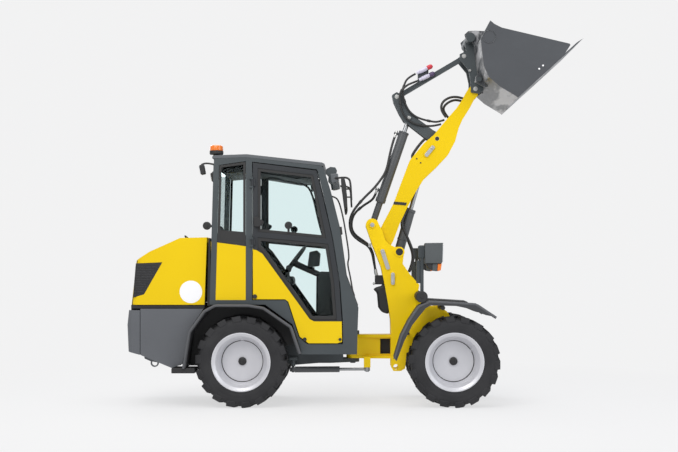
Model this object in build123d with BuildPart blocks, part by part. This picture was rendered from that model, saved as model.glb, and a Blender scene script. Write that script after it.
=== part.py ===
"""Compact articulated wheel loader with a closed cab and a raised boom.

Millimetres. +X is forward, +Y is the machine's left, +Z is up.
The origin is on the ground, on the centreline, under the articulation pin.
"""
from build123d import *
from math import atan2, cos, hypot, sin
import os

os.makedirs("parts", exist_ok=True)

# Wheels
tyre_radius = 404
tyre_width = 265
tyre_outer_y = 540
tread_depth = 20
lug_count = 18
rim_flange_radius = 261
rim_wall = 9
disc_setback = 150
disc_wall = 10
hub_spigot_radius = 36
spigot_clearance = 0.3
rear_axle_x = -986
front_axle_x = 898
axle_z = tyre_radius
axle_tube_radius = 60
hub_radius = 105
differential_radius = 108
axle_pad_top = axle_z + 66

# Articulation between the two frames
pivot_pin_radius = 25
yoke_tube_radius = 60
yoke_bottom = 405
yoke_top = 623
lug_plate = 34
running_clearance = 0.05
face_gap = 0.5

# Rear frame rails
rail_inner_y = 180
rail_wall = 20
rail_rear_x = -1890
rail_top = 700
nose_x = -90
tow_bore_radius = 16.5

# Front frame plates
frame_plate_inner_y = 100
frame_plate_wall = 25
frame_plate_outer_y = frame_plate_inner_y + frame_plate_wall

# Pins of the working arm, as (x, z) on the centre plane
boom_pivot = (269, 1399)
lift_base = (366, 1172)
lift_eye = (679.5, 2283)
tilt_base = (178, 1631.5)
lever_pivot = (776, 2427)
lever_rod = (519, 2624.5)
lever_link = (406.6, 2818)
hitch_link = (1021.6, 3182)
bucket_pivot = (1126.7, 2881.7)
spare_boss = (427, 1384)
pin_radius = 20

# Boom
boom_outer_y = 80
boom_wall = 18
boom_inner_y = boom_outer_y - boom_wall

# Lever, link and cylinders
lever_outer_y = 50
lever_wall = 18
lever_inner_y = lever_outer_y - lever_wall
lever_hub_radius = 42
link_half_width = 18
link_tube_half = 26
link_washer_radius = 38
tilt_barrel_radius = 45
tilt_barrel_end = 913
tilt_rod_radius = 22
lift_barrel_radius = 44
lift_barrel_end = 629
lift_rod_radius = 20
eye_radius = 38
steer_base = (-540, -262)
steer_lug = (130, -215)
steer_z = 318
steer_barrel_radius = 27
steer_rod_radius = 14
steer_barrel_end = 420
steer_rod_length = 430
steer_pin_radius = 12
steer_eye_half = 17

# Cab
cab_half_width = 480
cab_tube = 50
cab_inner_y = cab_half_width - cab_tube
cab_floor_top = 590
cab_floor_wall = 25
sill_bottom = 470
glass_wall = 6
door_wall = 40
door_proud = 4
door_hinge = (-889, cab_half_width + 15)
door_hinge_heights = ((1440, 1490), (1960, 2020))
door_pin_radius = 6
door_knuckle_radius = 10

# Hood
hood_half_width = 442
hood_wall = 6
hood_bottom = 908
hood_corner = 70
hood_hinge = (-1292, 1480)
hood_pin_radius = 9
hood_lug_y = 382
hood_lug_wall = 12
vent_outline = [(-1929, 1276), (-1693, 1286), (-1856, 1000), (-1955, 972)]
vent_pitch = 22

# Bucket
bucket_half_width = 550
bucket_wall = 10
hitch_inner_y = 84
hitch_wall = 20
hook_tube = (1069, 3330)
hook_tube_radius = 42
lock_pin = (1148, 2950)


def side_sketch(points, y):
    """Closed outline in X and Z on the plane at y, facing the machine's right."""
    with BuildSketch(Plane.XZ.offset(-y)) as outline:
        with BuildLine():
            Polyline(*points, close=True)
        make_face()
    return outline.sketch


def plate(points, y_low, y_high, mode=Mode.ADD):
    """Plate with an outline in X and Z, between two values of Y."""
    extrude(side_sketch(points, y_high), amount=y_high - y_low, mode=mode)


def pair(points, y_low, y_high, mode=Mode.ADD):
    """The same plate on both sides of the centre plane."""
    plate(points, y_low, y_high, mode)
    plate(points, -y_high, -y_low, mode)


def bar(centre, radius, y_low, y_high, mode=Mode.ADD):
    """Round bar along Y at a centre given in X and Z."""
    with BuildSketch(Plane.XZ.offset(-y_high)) as disc:
        with Locations(centre):
            Circle(radius)
    extrude(disc.sketch, amount=y_high - y_low, mode=mode)


def bar_pair(centre, radius, y_low, y_high, mode=Mode.ADD):
    bar(centre, radius, y_low, y_high, mode)
    bar(centre, radius, -y_high, -y_low, mode)


def block(x, y, z, mode=Mode.ADD):
    """Box from three (low, high) pairs."""
    centre = (sum(x) / 2, sum(y) / 2, sum(z) / 2)
    with Locations(centre):
        Box(x[1] - x[0], y[1] - y[0], z[1] - z[0], mode=mode)


def block_pair(x, y, z, mode=Mode.ADD):
    block(x, y, z, mode)
    block(x, (-y[1], -y[0]), z, mode)


def upright(centre, radius, z, mode=Mode.ADD):
    """Round bar along Z at a centre given in X and Y, between two heights."""
    with Locations((centre[0], centre[1], (z[0] + z[1]) / 2)):
        Cylinder(radius, z[1] - z[0], mode=mode)


def upright_pair(centre, radius, z, mode=Mode.ADD):
    upright(centre, radius, z, mode)
    upright((centre[0], -centre[1]), radius, z, mode)


def rod(start, end, radius, mode=Mode.ADD):
    """Round bar between two points in space."""
    run = Vector(*end) - Vector(*start)
    with BuildSketch(Plane(origin=start, z_dir=run)) as disc:
        Circle(radius)
    extrude(disc.sketch, amount=run.length, mode=mode)


def towards(start, end, distance, y=0):
    """Point in space at a distance from one (x, z) pin on the way to another."""
    length = hypot(end[0] - start[0], end[1] - start[1])
    share = distance / length
    return (start[0] + share * (end[0] - start[0]), y, start[1] + share * (end[1] - start[1]))


def finish(piece, name):
    piece.label = name
    export_step(piece, f"parts/{name}.step")


# Tyre and rim, made once about the Y axis with the outer side towards -Y
tread_radius = tyre_radius - tread_depth
half_tyre = tyre_width / 2
rim_seat_radius = rim_flange_radius - 24
with BuildPart() as tyre_form:
    with BuildSketch(Plane.YZ):
        with BuildLine():
            Polyline(
                (-half_tyre + 22, rim_seat_radius),
                (-half_tyre + 10, rim_flange_radius),
                (-half_tyre, tyre_radius - 84),
                (-half_tyre + 4, tyre_radius - 48),
                (-half_tyre + 26, tread_radius),
                (half_tyre - 26, tread_radius),
                (half_tyre - 4, tyre_radius - 48),
                (half_tyre, tyre_radius - 84),
                (half_tyre - 10, rim_flange_radius),
                (half_tyre - 22, rim_seat_radius),
                close=True,
            )
        make_face()
    revolve(axis=Axis.Y)
    lug_arc = 11
    for side, phase in ((1, 0), (-1, 0.5)):
        with BuildSketch(Plane.YZ) as lug_profile:
            with BuildLine():
                Polyline(
                    (side * 20, tread_radius - 4),
                    (side * 14, tyre_radius),
                    (side * (half_tyre - 16), tyre_radius),
                    (side * (half_tyre - 2), tyre_radius - 38),
                    (side * (half_tyre - 10), tyre_radius - 52),
                    (side * (half_tyre - 36), tread_radius - 4),
                    close=True,
                )
            make_face()
        for index in range(lug_count):
            turn = (index + phase) * 360 / lug_count
            start = lug_profile.sketch.rotate(Axis.Y, turn)
            revolve(start, axis=Axis.Y, revolution_arc=lug_arc)

disc_y = -half_tyre + disc_setback
with BuildPart() as rim_form:
    with BuildSketch(Plane.YZ):
        with BuildLine():
            Polyline(
                (-half_tyre + 6, rim_flange_radius - rim_wall),
                (-half_tyre + 6, rim_flange_radius),
                (-half_tyre + 9, rim_flange_radius),
                (-half_tyre + 21, rim_seat_radius - 0.5),
                (half_tyre - 21, rim_seat_radius - 0.5),
                (half_tyre - 9, rim_flange_radius),
                (half_tyre - 6, rim_flange_radius),
                (half_tyre - 6, rim_flange_radius - rim_wall),
                (half_tyre - 22, rim_seat_radius - rim_wall),
                (disc_y + disc_wall + 20, rim_seat_radius - rim_wall),
                (disc_y + disc_wall, 185),
                (disc_y + disc_wall, hub_spigot_radius + spigot_clearance),
                (disc_y, hub_spigot_radius + spigot_clearance),
                (disc_y, 180),
                (disc_y - 8, 186),
                (-half_tyre + 60, 206),
                (-half_tyre + 24, rim_seat_radius - rim_wall),
                close=True,
            )
        make_face()
    revolve(axis=Axis.Y)

wheel_places = (
    # name, axle x, side of the machine
    ("rear_right", rear_axle_x, -1),
    ("rear_left", rear_axle_x, 1),
    ("front_right", front_axle_x, -1),
    ("front_left", front_axle_x, 1),
)
for place, axle_x, side in wheel_places:
    centre = (axle_x, side * (tyre_outer_y - half_tyre), axle_z)
    turn = (0, 0, 0) if side < 0 else (0, 0, 180)
    with BuildPart() as tyre:
        with Locations(centre):
            add(tyre_form.part, rotation=turn)
    finish(tyre.part, f"tyre_{place}")
    with BuildPart() as rim:
        with Locations(centre):
            add(rim_form.part, rotation=turn)
    finish(rim.part, f"rim_{place}")

# Axles with a differential, arms, hubs and the pads that carry the frame
hub_face_y = tyre_outer_y - disc_setback - disc_wall - 0.3
for name, axle_x, pad_y in (
    ("rear_axle", rear_axle_x, rail_inner_y),
    ("front_axle", front_axle_x, frame_plate_inner_y),
):
    pad_depth = rail_wall if name == "rear_axle" else frame_plate_wall
    with BuildPart() as axle:
        bar((axle_x, axle_z), axle_tube_radius, -hub_face_y + 40, hub_face_y - 40)
        with Locations((axle_x, 0, axle_z)):
            Sphere(differential_radius)
        bar_pair((axle_x, axle_z), hub_radius, hub_face_y - 90, hub_face_y)
        bar_pair((axle_x, axle_z), hub_spigot_radius, hub_face_y, hub_face_y + disc_wall + 14)
        block_pair((axle_x - 70, axle_x + 70), (pad_y, pad_y + pad_depth), (axle_z, axle_pad_top))
    finish(axle.part, name)

# Rear frame: two rails, cross plates, the nose with both pivot lugs and the pin
floor_seat = cab_floor_top - cab_floor_wall - 0.3
rail_outline = [
    (rail_rear_x, 470), (rail_rear_x, rail_top), (-640, rail_top), (-540, floor_seat),
    (nose_x, floor_seat),
    (nose_x, 390), (-560, 352), (-700, axle_pad_top), (-1300, axle_pad_top),
]
lower_lug = (yoke_bottom - face_gap - lug_plate, yoke_bottom - face_gap)
upper_lug = (yoke_top + face_gap, yoke_top + face_gap + lug_plate)
nose_side_y = 80
with BuildPart() as rear_chassis:
    pair(rail_outline, rail_inner_y, rail_inner_y + rail_wall)
    for x_low, z_low, z_high in ((rail_rear_x, 480, 690), (-1300, 480, 690), (-700, 480, 690)):
        block((x_low, x_low + 16), (-rail_inner_y, rail_inner_y), (z_low, z_high))
    for (z_low, z_high), root_x, half in (
        (lower_lug, -560, rail_inner_y),
        (upper_lug, -360, nose_side_y + 16),
    ):
        with BuildSketch(Plane.XY.offset(z_low)):
            with BuildLine():
                Polyline((root_x, half), (-200, half), (0, yoke_tube_radius),
                         (0, -yoke_tube_radius), (-200, -half), (root_x, -half), close=True)
            make_face()
            Circle(yoke_tube_radius)
        extrude(amount=z_high - z_low)
    block_pair((-360, -95), (nose_side_y, nose_side_y + 16), (lower_lug[1], upper_lug[0]))
    with Locations((0, 0, (lower_lug[0] + upper_lug[1]) / 2)):
        Cylinder(pivot_pin_radius, upper_lug[1] - lower_lug[0] + 24)
    block((steer_base[0] - 32, steer_base[0] + 40), (-290, -rail_inner_y), (404, 428))
    upright(steer_base, steer_pin_radius, (steer_z - steer_eye_half - 8, 410))
    upright(steer_base, steer_pin_radius + 8, (steer_z + 32, 404))
finish(rear_chassis.part, "rear_chassis")

# Counterweight casting across the tail and the grey boxes along both sides
with BuildPart() as counterweight:
    plate([(-1996, 860), (-2010, 729), (-2000, 493), (-1897, 465),
           (rail_rear_x - 0.3, 465), (rail_rear_x - 0.3, 860)], -450, 450)
    fillet(counterweight.edges().filter_by(Axis.Z, tolerance=8).sort_by(Axis.X)[:4], 50)
    block((-2010, -1945), (-60, 60), (560, 640), mode=Mode.SUBTRACT)
    with Locations((-1978, 0, 660)):
        Cylinder(tow_bore_radius, 420, mode=Mode.SUBTRACT)
    pair([(-1885, 873), (-1325, 873), (-1452, 690), (-1515, 380), (-1607, 347), (-1885, 463)],
         rail_inner_y + rail_wall, 455)
finish(counterweight.part, "counterweight")

# Engine, closed in under the hood
with BuildPart() as engine_block:
    block((-1840, -1390), (-195, 195), (rail_top, 1290))
finish(engine_block.part, "engine_block")

# Rear fenders
rear_arch = [(-1493, 354), (-1442, 676), (-1311, 858), (-1216, 909.7), (-916, 909.7), (-785, 887),
             (-544, 720), (-465, 486)]
fender_wall = 20


def arch_strip(outer, wall, centre):
    """Outline of an even strip inside an arch, offset towards the axle."""
    inner = []
    for x, z in outer:
        reach = hypot(x - centre[0], z - centre[1])
        inner.append((x - wall * (x - centre[0]) / reach, z - wall * (z - centre[1]) / reach))
    return list(outer) + inner[::-1]


with BuildPart() as rear_fenders:
    pair(arch_strip(rear_arch, fender_wall, (rear_axle_x, axle_z)), 290, 545)
finish(rear_fenders.part, "rear_fenders")

# Cab frame: pillars, rails and gussets of both sides, joined by cross beams
roof_line = [(-1225, 2205), (-940, 2215), (-275, 2138)]
side_members = {
    "rear_pillar": [(-1268, 910), (-1218, 910), (-1184, 2160), (-1234, 2150)],
    "middle_pillar": [(-947, 910), (-892, 910), (-892, 2190), (-947, 2190)],
    "top_rail": [(-1234, 2140), (-940, 2182), (-318, 2108), (-290, 2050), (-237, 2050),
                 (-275, 2138), (-940, 2215), (-1225, 2205)],
    "front_pillar": [(-262, 2130), (-195, 1914), (-120, 1616), (-58, 1169), (50, 885), (43, 700),
                     (36, sill_bottom), (-86, sill_bottom), (-88, 762), (-112, 1100), (-176, 1500),
                     (-312, 2108)],
    "sill": [(-455, sill_bottom), (-60, sill_bottom), (-60, 560), (-400, 560), (-470, 610)],
    "lower_rail": [(-1268, 910), (-640, 910), (-600, 950), (-1268, 950)],
    "front_gusset": [(-780, 912), (-534, 735), (-455, 486), (-458, sill_bottom), (-400, sill_bottom),
                     (-400, 560), (-478, 622), (-577, 930), (-600, 950), (-780, 950)],
}
with BuildPart() as cab_frame:
    for outline in side_members.values():
        pair(outline, cab_inner_y, cab_half_width)
    cross_beams = (
        # x low, x high, z low, z high
        (-1268, -1220, 910, 950),
        (-1236, -1190, 2150, 2204),
        (-318, -270, 2080, 2130),
    )
    for x_low, x_high, z_low, z_high in cross_beams:
        block((x_low, x_high), (-cab_inner_y, cab_inner_y), (z_low, z_high))
    for z_low, z_high in door_hinge_heights:
        for lug_z in ((z_low - 15, z_low - 1), (z_high + 1, z_high + 15)):
            block_pair((-914, -892), (cab_half_width - 10, cab_half_width + 25), lug_z)
            upright_pair(door_hinge, door_knuckle_radius, lug_z)
        upright_pair(door_hinge, door_pin_radius, (z_low - 15, z_high + 15))
finish(cab_frame.part, "cab_frame")

with BuildPart() as cab_roof:
    plate([(-1245, 2206), (-940, 2216), (-262, 2139), (-250, 2158), (-275, 2170), (-940, 2243),
           (-1225, 2233), (-1245, 2222)], -cab_half_width, cab_half_width)
finish(cab_roof.part, "cab_roof")

# Floor pan with the tunnel, the heel board, the seat platform and the step under each door
tunnel_half = 130
with BuildPart() as cab_floor:
    block_pair((-480, -90), (tunnel_half, cab_inner_y),
               (cab_floor_top - cab_floor_wall, cab_floor_top))
    block((-500, -72), (-tunnel_half, tunnel_half), (680, 700))
    block_pair((-500, -72), (tunnel_half - 20, tunnel_half), (cab_floor_top - cab_floor_wall, 690))
    plate([(-486, 565), (-466, 565), (-466, 590), (-512, 730), (-545, 940), (-1218, 940),
           (-1218, 915), (-568, 915), (-533, 728)], -cab_inner_y, cab_inner_y)
    block((-540, -460), (20 - tunnel_half, tunnel_half - 20), (565, 680), mode=Mode.SUBTRACT)
finish(cab_floor.part, "cab_floor")

with BuildPart() as cab_front_panel:
    plate([(-70, 700), (-20, 700), (20, 890), (-52, 1080), (-75, 1080), (-10, 885)],
          -cab_inner_y, cab_inner_y)
finish(cab_front_panel.part, "cab_front_panel")

# Side panels below the rear quarter windows and the wall behind the seat
panel_wall = 22
with BuildPart() as cab_panels:
    pair([(-1216, 951), (-948, 951), (-948, 1428), (-1202, 1462)],
         cab_half_width - panel_wall - 2, cab_half_width - 2)
    block((-1262, -1240), (-cab_inner_y, cab_inner_y), (951, 1470))
    pair([(-1262, 1425), (-1262, 1468), (-1284, 1494), (-1304, 1492), (-1308, 1474)],
         hood_lug_y, hood_lug_y + hood_lug_wall)
    bar_pair(hood_hinge, hood_pin_radius + running_clearance, hood_lug_y,
             hood_lug_y + hood_lug_wall, mode=Mode.SUBTRACT)
finish(cab_panels.part, "cab_panels")

# Fixed glass: windscreen, rear window and both quarter windows
with BuildPart() as cab_glass:
    pair([(-1202, 1463), (-948, 1429), (-948, 2178), (-1183, 2145)],
         cab_half_width - glass_wall - 8, cab_half_width - 8)
    plate([(-262, 2079), (-212, 1914), (-137, 1616), (-75, 1169), (-60, 1081),
           (-66, 1081), (-81, 1169), (-143, 1616), (-218, 1914), (-268, 2079)],
          -cab_inner_y, cab_inner_y)
    plate([(-1250, 1471), (-1244, 1471), (-1226, 2149), (-1232, 2149)], -cab_inner_y, cab_inner_y)
finish(cab_glass.part, "cab_glass")

# Doors: frame, yellow lower panel and glass, hinged at the middle pillar
door_outline = [(-885, 957), (-600, 957), (-570, 936), (-470, 628), (-392, 568), (-137, 568),
                (-95, 580), (-97, 762), (-120, 1100), (-183, 1497), (-322, 2098), (-885, 2168)]
upper_opening = [(-842, 1556), (-236, 1497), (-352, 2060), (-842, 2120)]
lower_opening = [(-842, 1508), (-218, 1448), (-166, 1110), (-142, 780), (-372, 780), (-800, 1380),
                 (-842, 1420)]
door_panel_outline = [(-884, 958), (-600, 958), (-571, 937), (-471, 629), (-392, 569), (-138, 569),
                      (-96, 581), (-98, 762), (-342, 762), (-382, 782), (-801, 1362), (-856, 1395),
                      (-884, 1400)]
door_panel_wall = 14
door_outer_y = cab_half_width + door_proud
for side, name in ((-1, "right"), (1, "left")):
    near = door_outer_y - door_wall
    frame_face = door_outer_y - door_panel_wall
    with BuildPart() as door_frame:
        low, high = sorted((side * near, side * frame_face))
        plate(door_outline, low, high)
        plate(upper_opening, low, high, mode=Mode.SUBTRACT)
        plate(lower_opening, low, high, mode=Mode.SUBTRACT)
        low, high = sorted((side * frame_face, side * (door_outer_y - 3)))
        plate([(-885, 1401), (-856, 1396), (-842, 1402), (-842, 1508), (-218, 1448), (-166, 1110),
               (-142, 780), (-142, 763), (-98, 763), (-120, 1100), (-183, 1497), (-322, 2098),
               (-885, 2168)], low, high)
        plate(upper_opening, low, high, mode=Mode.SUBTRACT)
        plate(lower_opening, low, high, mode=Mode.SUBTRACT)
        axis = (door_hinge[0], side * door_hinge[1])
        low, high = sorted((side * (door_outer_y - 5), side * door_hinge[1]))
        for heights in door_hinge_heights:
            block((-885, -862), (low, high), heights)
            upright(axis, door_knuckle_radius, heights)
            upright(axis, door_pin_radius + running_clearance, heights, mode=Mode.SUBTRACT)
    finish(door_frame.part, f"door_frame_{name}")
    with BuildPart() as door_panel:
        low, high = sorted((side * frame_face, side * door_outer_y))
        plate(door_panel_outline, low, high)
    finish(door_panel.part, f"door_panel_{name}")
    with BuildPart() as door_glass:
        glass_y = frame_face - glass_wall
        low, high = sorted((side * glass_y, side * (glass_y + glass_wall)))
        plate(upper_opening, low, high)
        plate(lower_opening, low, high)
    finish(door_glass.part, f"door_glass_{name}")

# Seat
with BuildPart() as seat:
    block((-960, -620), (-190, 190), (940, 1040))
    plate([(-1000, 1040.3), (-520, 1040.3), (-500, 1110), (-540, 1150), (-960, 1130), (-1030, 1560),
           (-1110, 1560), (-1120, 1500), (-1040, 1100)], -230, 230)
finish(seat.part, "seat")

# Console with the steering column and wheel
with BuildPart() as steering_console:
    plate([(-340, 700), (-125, 700), (-125, 1180), (-250, 1215), (-330, 1150)], -120, 120)
    rod((-330, 0, 1140), (-566, 0, 1309.2), 24)
    wheel_plane = Plane(origin=(-560, 0, 1305), z_dir=(-0.8, 0, 0.6))
    with BuildSketch(wheel_plane):
        Circle(172)
        Circle(146, mode=Mode.SUBTRACT)
        for turn in (0, 120, 240):
            with PolarLocations(78, 1, start_angle=turn):
                Rectangle(150, 26)
        Circle(34)
    extrude(amount=22)
    plate([(-420, 1230), (-290, 1250), (-300, 1400), (-410, 1380)], -70, 70)
    plate([(-330, 1190), (-280, 1190), (-300, 1260), (-340, 1260)], -40, 40)
finish(steering_console.part, "steering_console")

# Hood shell, grilles and hinge
hood_side = [(-1978, hood_bottom), (-1933, 1300), (-1806, 1381), (-1534, 1503), (-1296, 1508),
             (-1318, hood_bottom)]
with BuildPart() as hood:
    plate(hood_side, -hood_half_width, hood_half_width)
    rim_edges = hood.edges().filter_by(Axis.Z, tolerance=12).sort_by(Axis.X)[:2]
    fillet(rim_edges, hood_corner)
    inner_side = [(-1971, hood_bottom - 5), (-1926, 1297), (-1803, 1375), (-1533, 1497),
                  (-1280, 1502), (-1300, hood_bottom - 5)]
    plate(inner_side, -hood_half_width + hood_wall + 20, hood_half_width - hood_wall - 20,
          mode=Mode.SUBTRACT)
    pair([(-1900, 990), (-1860, 1270), (-1800, 1340), (-1533, 1470), (-1280, 1480),
          (-1300, hood_bottom - 5), (-1890, hood_bottom - 5)],
         hood_half_width - hood_wall - 21, hood_half_width - hood_wall, mode=Mode.SUBTRACT)
    bar_pair(hood_hinge, hood_pin_radius, 300, hood_lug_y + hood_lug_wall)
    block_pair((hood_hinge[0] - 8, hood_hinge[0] + 8), (300, hood_lug_y - 5), (hood_hinge[1], 1503))
    pair(vent_outline, hood_half_width - hood_wall - 22, hood_half_width, mode=Mode.SUBTRACT)
    for step in range(8):
        block((-1990, -1925), (-270, 270), (970 + 36 * step, 986 + 36 * step), mode=Mode.SUBTRACT)
finish(hood.part, "hood")

with BuildPart() as hood_grilles:
    pair(vent_outline, hood_half_width - hood_wall, hood_half_width - 2)
    for step in range(12):
        z = 1000 + vent_pitch * step
        rear = -1945 + 0.085 * (z - 972)
        front = -1870 + 0.57 * (z - 1000)
        block_pair((rear, front), (hood_half_width - hood_wall, hood_half_width), (z, z + vent_pitch / 2),
                   mode=Mode.SUBTRACT)
finish(hood_grilles.part, "hood_grilles")

# Front frame: two side plates, the yoke between them and the arms that carry the fenders
frame_outline = [
    (119, 1626), (183, 1439), (259, 1246), (288, 1100), (317, 943), (346, 760), (350, 485),
    (350, 330), (372, 292), (440, 292), (479, 314), (492, 459), (520, axle_pad_top),
    (1050, axle_pad_top), (1050, axle_pad_top + 50), (980, 640), (862, 840), (797, 884), (706, 884),
    (640, 930), (592, 985), (610, 1082), (522, 1181), (457, 1275), (470, 1384), (427, 1431),
    (385, 1429), (330, 1455), (295, 1495), (270, 1578), (237, 1640),
]
lashing_hole = (395, 330)
with BuildPart() as front_plates:
    pair(frame_outline, frame_plate_inner_y, frame_plate_outer_y)
    bar_pair(tilt_base, 59, frame_plate_inner_y, frame_plate_outer_y)
    bar_pair(spare_boss, 47, frame_plate_inner_y, frame_plate_outer_y + 6)
    bar_pair(lashing_hole, 24, frame_plate_inner_y, frame_plate_outer_y, mode=Mode.SUBTRACT)
    bar_pair(spare_boss, 26, frame_plate_inner_y, frame_plate_outer_y + 6, mode=Mode.SUBTRACT)
    for centre in (boom_pivot, lift_base, tilt_base):
        bar_pair(centre, 30, frame_plate_outer_y, frame_plate_outer_y + 8)
finish(front_plates.part, "front_plates")

yoke_plate = 25
yoke_web_y = 42
yoke_web_wall = 18
steer_arm_x = (100, 160)
steer_arm_end = 248
with BuildPart() as front_yoke:
    for z_low in (yoke_bottom, yoke_top - yoke_plate):
        with BuildSketch(Plane.XY.offset(z_low)):
            with BuildLine():
                Polyline((0, 55), (120, 75), (330, frame_plate_inner_y), (366, frame_plate_inner_y),
                         (366, -frame_plate_inner_y), (330, -frame_plate_inner_y), (120, -75), (0, -55),
                         close=True)
            make_face()
        extrude(amount=yoke_plate)
    upright((0, 0), yoke_tube_radius, (yoke_bottom, yoke_top))
    block_pair((40, 352), (yoke_web_y, yoke_web_y + yoke_web_wall),
               (yoke_bottom + yoke_plate, yoke_top - yoke_plate))
    block_pair((252, 345), (yoke_web_y, yoke_web_y + yoke_web_wall), (446, 585), mode=Mode.SUBTRACT)
    upright((0, 0), pivot_pin_radius + running_clearance, (yoke_bottom, yoke_top), mode=Mode.SUBTRACT)
    block((350, 366), (-frame_plate_inner_y, frame_plate_inner_y), (yoke_bottom, 900))
    block(steer_arm_x, (-steer_arm_end, -60), (yoke_bottom, yoke_bottom + yoke_plate))
    block(steer_arm_x, (-steer_arm_end, 62 - steer_arm_end),
          (steer_z + steer_eye_half + face_gap, yoke_bottom))
finish(front_yoke.part, "front_yoke")

with BuildPart() as front_braces:
    block((520, 760), (-frame_plate_inner_y, frame_plate_inner_y), (axle_pad_top, axle_pad_top + 20))
    block((1034, 1050), (-frame_plate_inner_y, frame_plate_inner_y), (axle_pad_top, axle_pad_top + 45))
    for centre, reach, half in (((607, 981), 480, 45), ((795, 883.1), 520, 20), ((495.6, 650), 400, 12)):
        bar_pair(centre, half, frame_plate_outer_y, reach)
finish(front_braces.part, "front_braces")

# Front fenders
front_arch = [(363, 443), (422, 639), (488, 771), (576, 902), (675, 946), (1082, 921), (1258, 804),
              (1175, 819), (1045, 872), (909, 900.5), (687, 906), (641, 881), (524, 734),
              (451, 588), (385, 413)]
with BuildPart() as front_fenders:
    pair(front_arch, 290, 545)
    bar_pair((607, 981), 45.5, 290, 545, mode=Mode.SUBTRACT)
finish(front_fenders.part, "front_fenders")

# Head lamps on their posts
with BuildPart() as head_lamps:
    block_pair((598, 632), (405, 445), (1026.3, 1324))
    block_pair((579, 636.7), (400, 450), (1324, 1432))
    pair([(637, 1274), (790, 1274), (794, 1440), (800, 1459), (637, 1459)], 370, 520)
    block_pair((645, 785), (385, 505), (1205, 1273.7))
finish(head_lamps.part, "head_lamps")

# Boom: two side plates with webs along the top edge, open underneath
boom_back = [(224, 1408), (252, 1595), (377, 1835), (453, 2038), (527, 2231), (655, 2385),
             (745, 2462), (860, 2600), (953, 2706), (1010, 2790), (1062, 2885)]
boom_front = [(1100, 2925), (1160, 2900), (1150, 2825), (1118, 2790), (1080, 2715), (1008, 2600),
              (975, 2525), (941, 2400), (876, 2277), (775, 2170), (655, 2056), (573, 1927),
              (500, 1790), (430, 1640), (370, 1480), (315, 1385)]
with BuildPart() as boom:
    pair(boom_back + boom_front, boom_inner_y, boom_outer_y)
    bar(boom_pivot, 46, -frame_plate_inner_y + face_gap, frame_plate_inner_y - face_gap)
    webs = (
        [(224, 1408), (252, 1595), (377, 1835), (453, 2038), (500, 2160), (512, 2155),
         (465, 2034), (388, 1830), (264, 1592), (238, 1410)],
        [(882, 2627), (953, 2706), (1010, 2790), (1030, 2825), (1042, 2818), (1021, 2783),
         (963, 2698), (893, 2618)],
        [(1008, 2600), (1080, 2715), (1118, 2790), (1106, 2794), (1069, 2721), (996, 2606)],
        [(941, 2400), (975, 2525), (1008, 2600), (996, 2606), (963, 2529), (929, 2404)],
    )
    for web in webs:
        plate(web, -boom_inner_y, boom_inner_y)
    bar(lever_pivot, pin_radius + running_clearance, -boom_outer_y, boom_outer_y, mode=Mode.SUBTRACT)
    bar(bucket_pivot, pin_radius + running_clearance, -boom_outer_y, boom_outer_y, mode=Mode.SUBTRACT)
    bar_pair(lift_eye, 30, boom_outer_y, boom_outer_y + 6)
finish(boom.part, "boom")

# Pins that carry the turning links
with BuildPart() as lever_pin:
    bar(lever_pivot, pin_radius, -boom_outer_y, boom_outer_y)
    bar(lever_pivot, lever_hub_radius, -lever_inner_y + face_gap, lever_inner_y - face_gap)
finish(lever_pin.part, "lever_pin")

with BuildPart() as hitch_pin:
    bar(bucket_pivot, pin_radius, -hitch_inner_y - hitch_wall, hitch_inner_y + hitch_wall)
finish(hitch_pin.part, "hitch_pin")

with BuildPart() as link_pin:
    bar(lever_link, pin_radius, -lever_outer_y, lever_outer_y)
    bar_pair(lever_link, link_washer_radius, link_half_width + face_gap, lever_inner_y - face_gap)
finish(link_pin.part, "link_pin")

with BuildPart() as tilt_pin:
    bar(tilt_base, pin_radius, -frame_plate_inner_y + face_gap, frame_plate_inner_y - face_gap)
finish(tilt_pin.part, "tilt_pin")

# Lever
lever_outline = [(362, 2834), (376, 2770), (425, 2665), (470, 2590), (512, 2560), (640, 2460),
                 (740, 2380), (812, 2400), (815, 2470), (740, 2510), (655, 2575), (585, 2625),
                 (520, 2700), (470, 2790), (448, 2834), (406, 2862)]
with BuildPart() as lever:
    pair(lever_outline, lever_inner_y, lever_outer_y)
    bar_pair(lever_pivot, lever_hub_radius, lever_outer_y, boom_inner_y - face_gap)
    bar((640, 2530), 20, -lever_inner_y, lever_inner_y)
    for centre in (lever_pivot, lever_link):
        bar(centre, pin_radius + running_clearance, -boom_inner_y, boom_inner_y, mode=Mode.SUBTRACT)
    bar_pair(lever_rod, 26, lever_outer_y, lever_outer_y + 5)
finish(lever.part, "lever")

# Link from the lever to the hitch, with its cross tube at the hitch end
with BuildPart() as tilt_link:
    bar(lever_link, 42, -link_half_width, link_half_width)
    bar(hitch_link, 36, -link_tube_half, link_tube_half)
    start = towards(lever_link, hitch_link, 30)
    end = towards(hitch_link, lever_link, 24)
    slope = atan2(end[2] - start[2], end[0] - start[0])
    across = (-sin(slope), cos(slope))
    half = 22
    plate([(start[0] + half * across[0], start[2] + half * across[1]),
           (end[0] + half * across[0], end[2] + half * across[1]),
           (end[0] - half * across[0], end[2] - half * across[1]),
           (start[0] - half * across[0], start[2] - half * across[1])],
          -link_half_width, link_half_width)
    bar(lever_link, pin_radius + running_clearance, -link_half_width, link_half_width,
        mode=Mode.SUBTRACT)
    bar(hitch_link, pin_radius, -hitch_inner_y + face_gap, hitch_inner_y - face_gap)
finish(tilt_link.part, "tilt_link")

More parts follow.
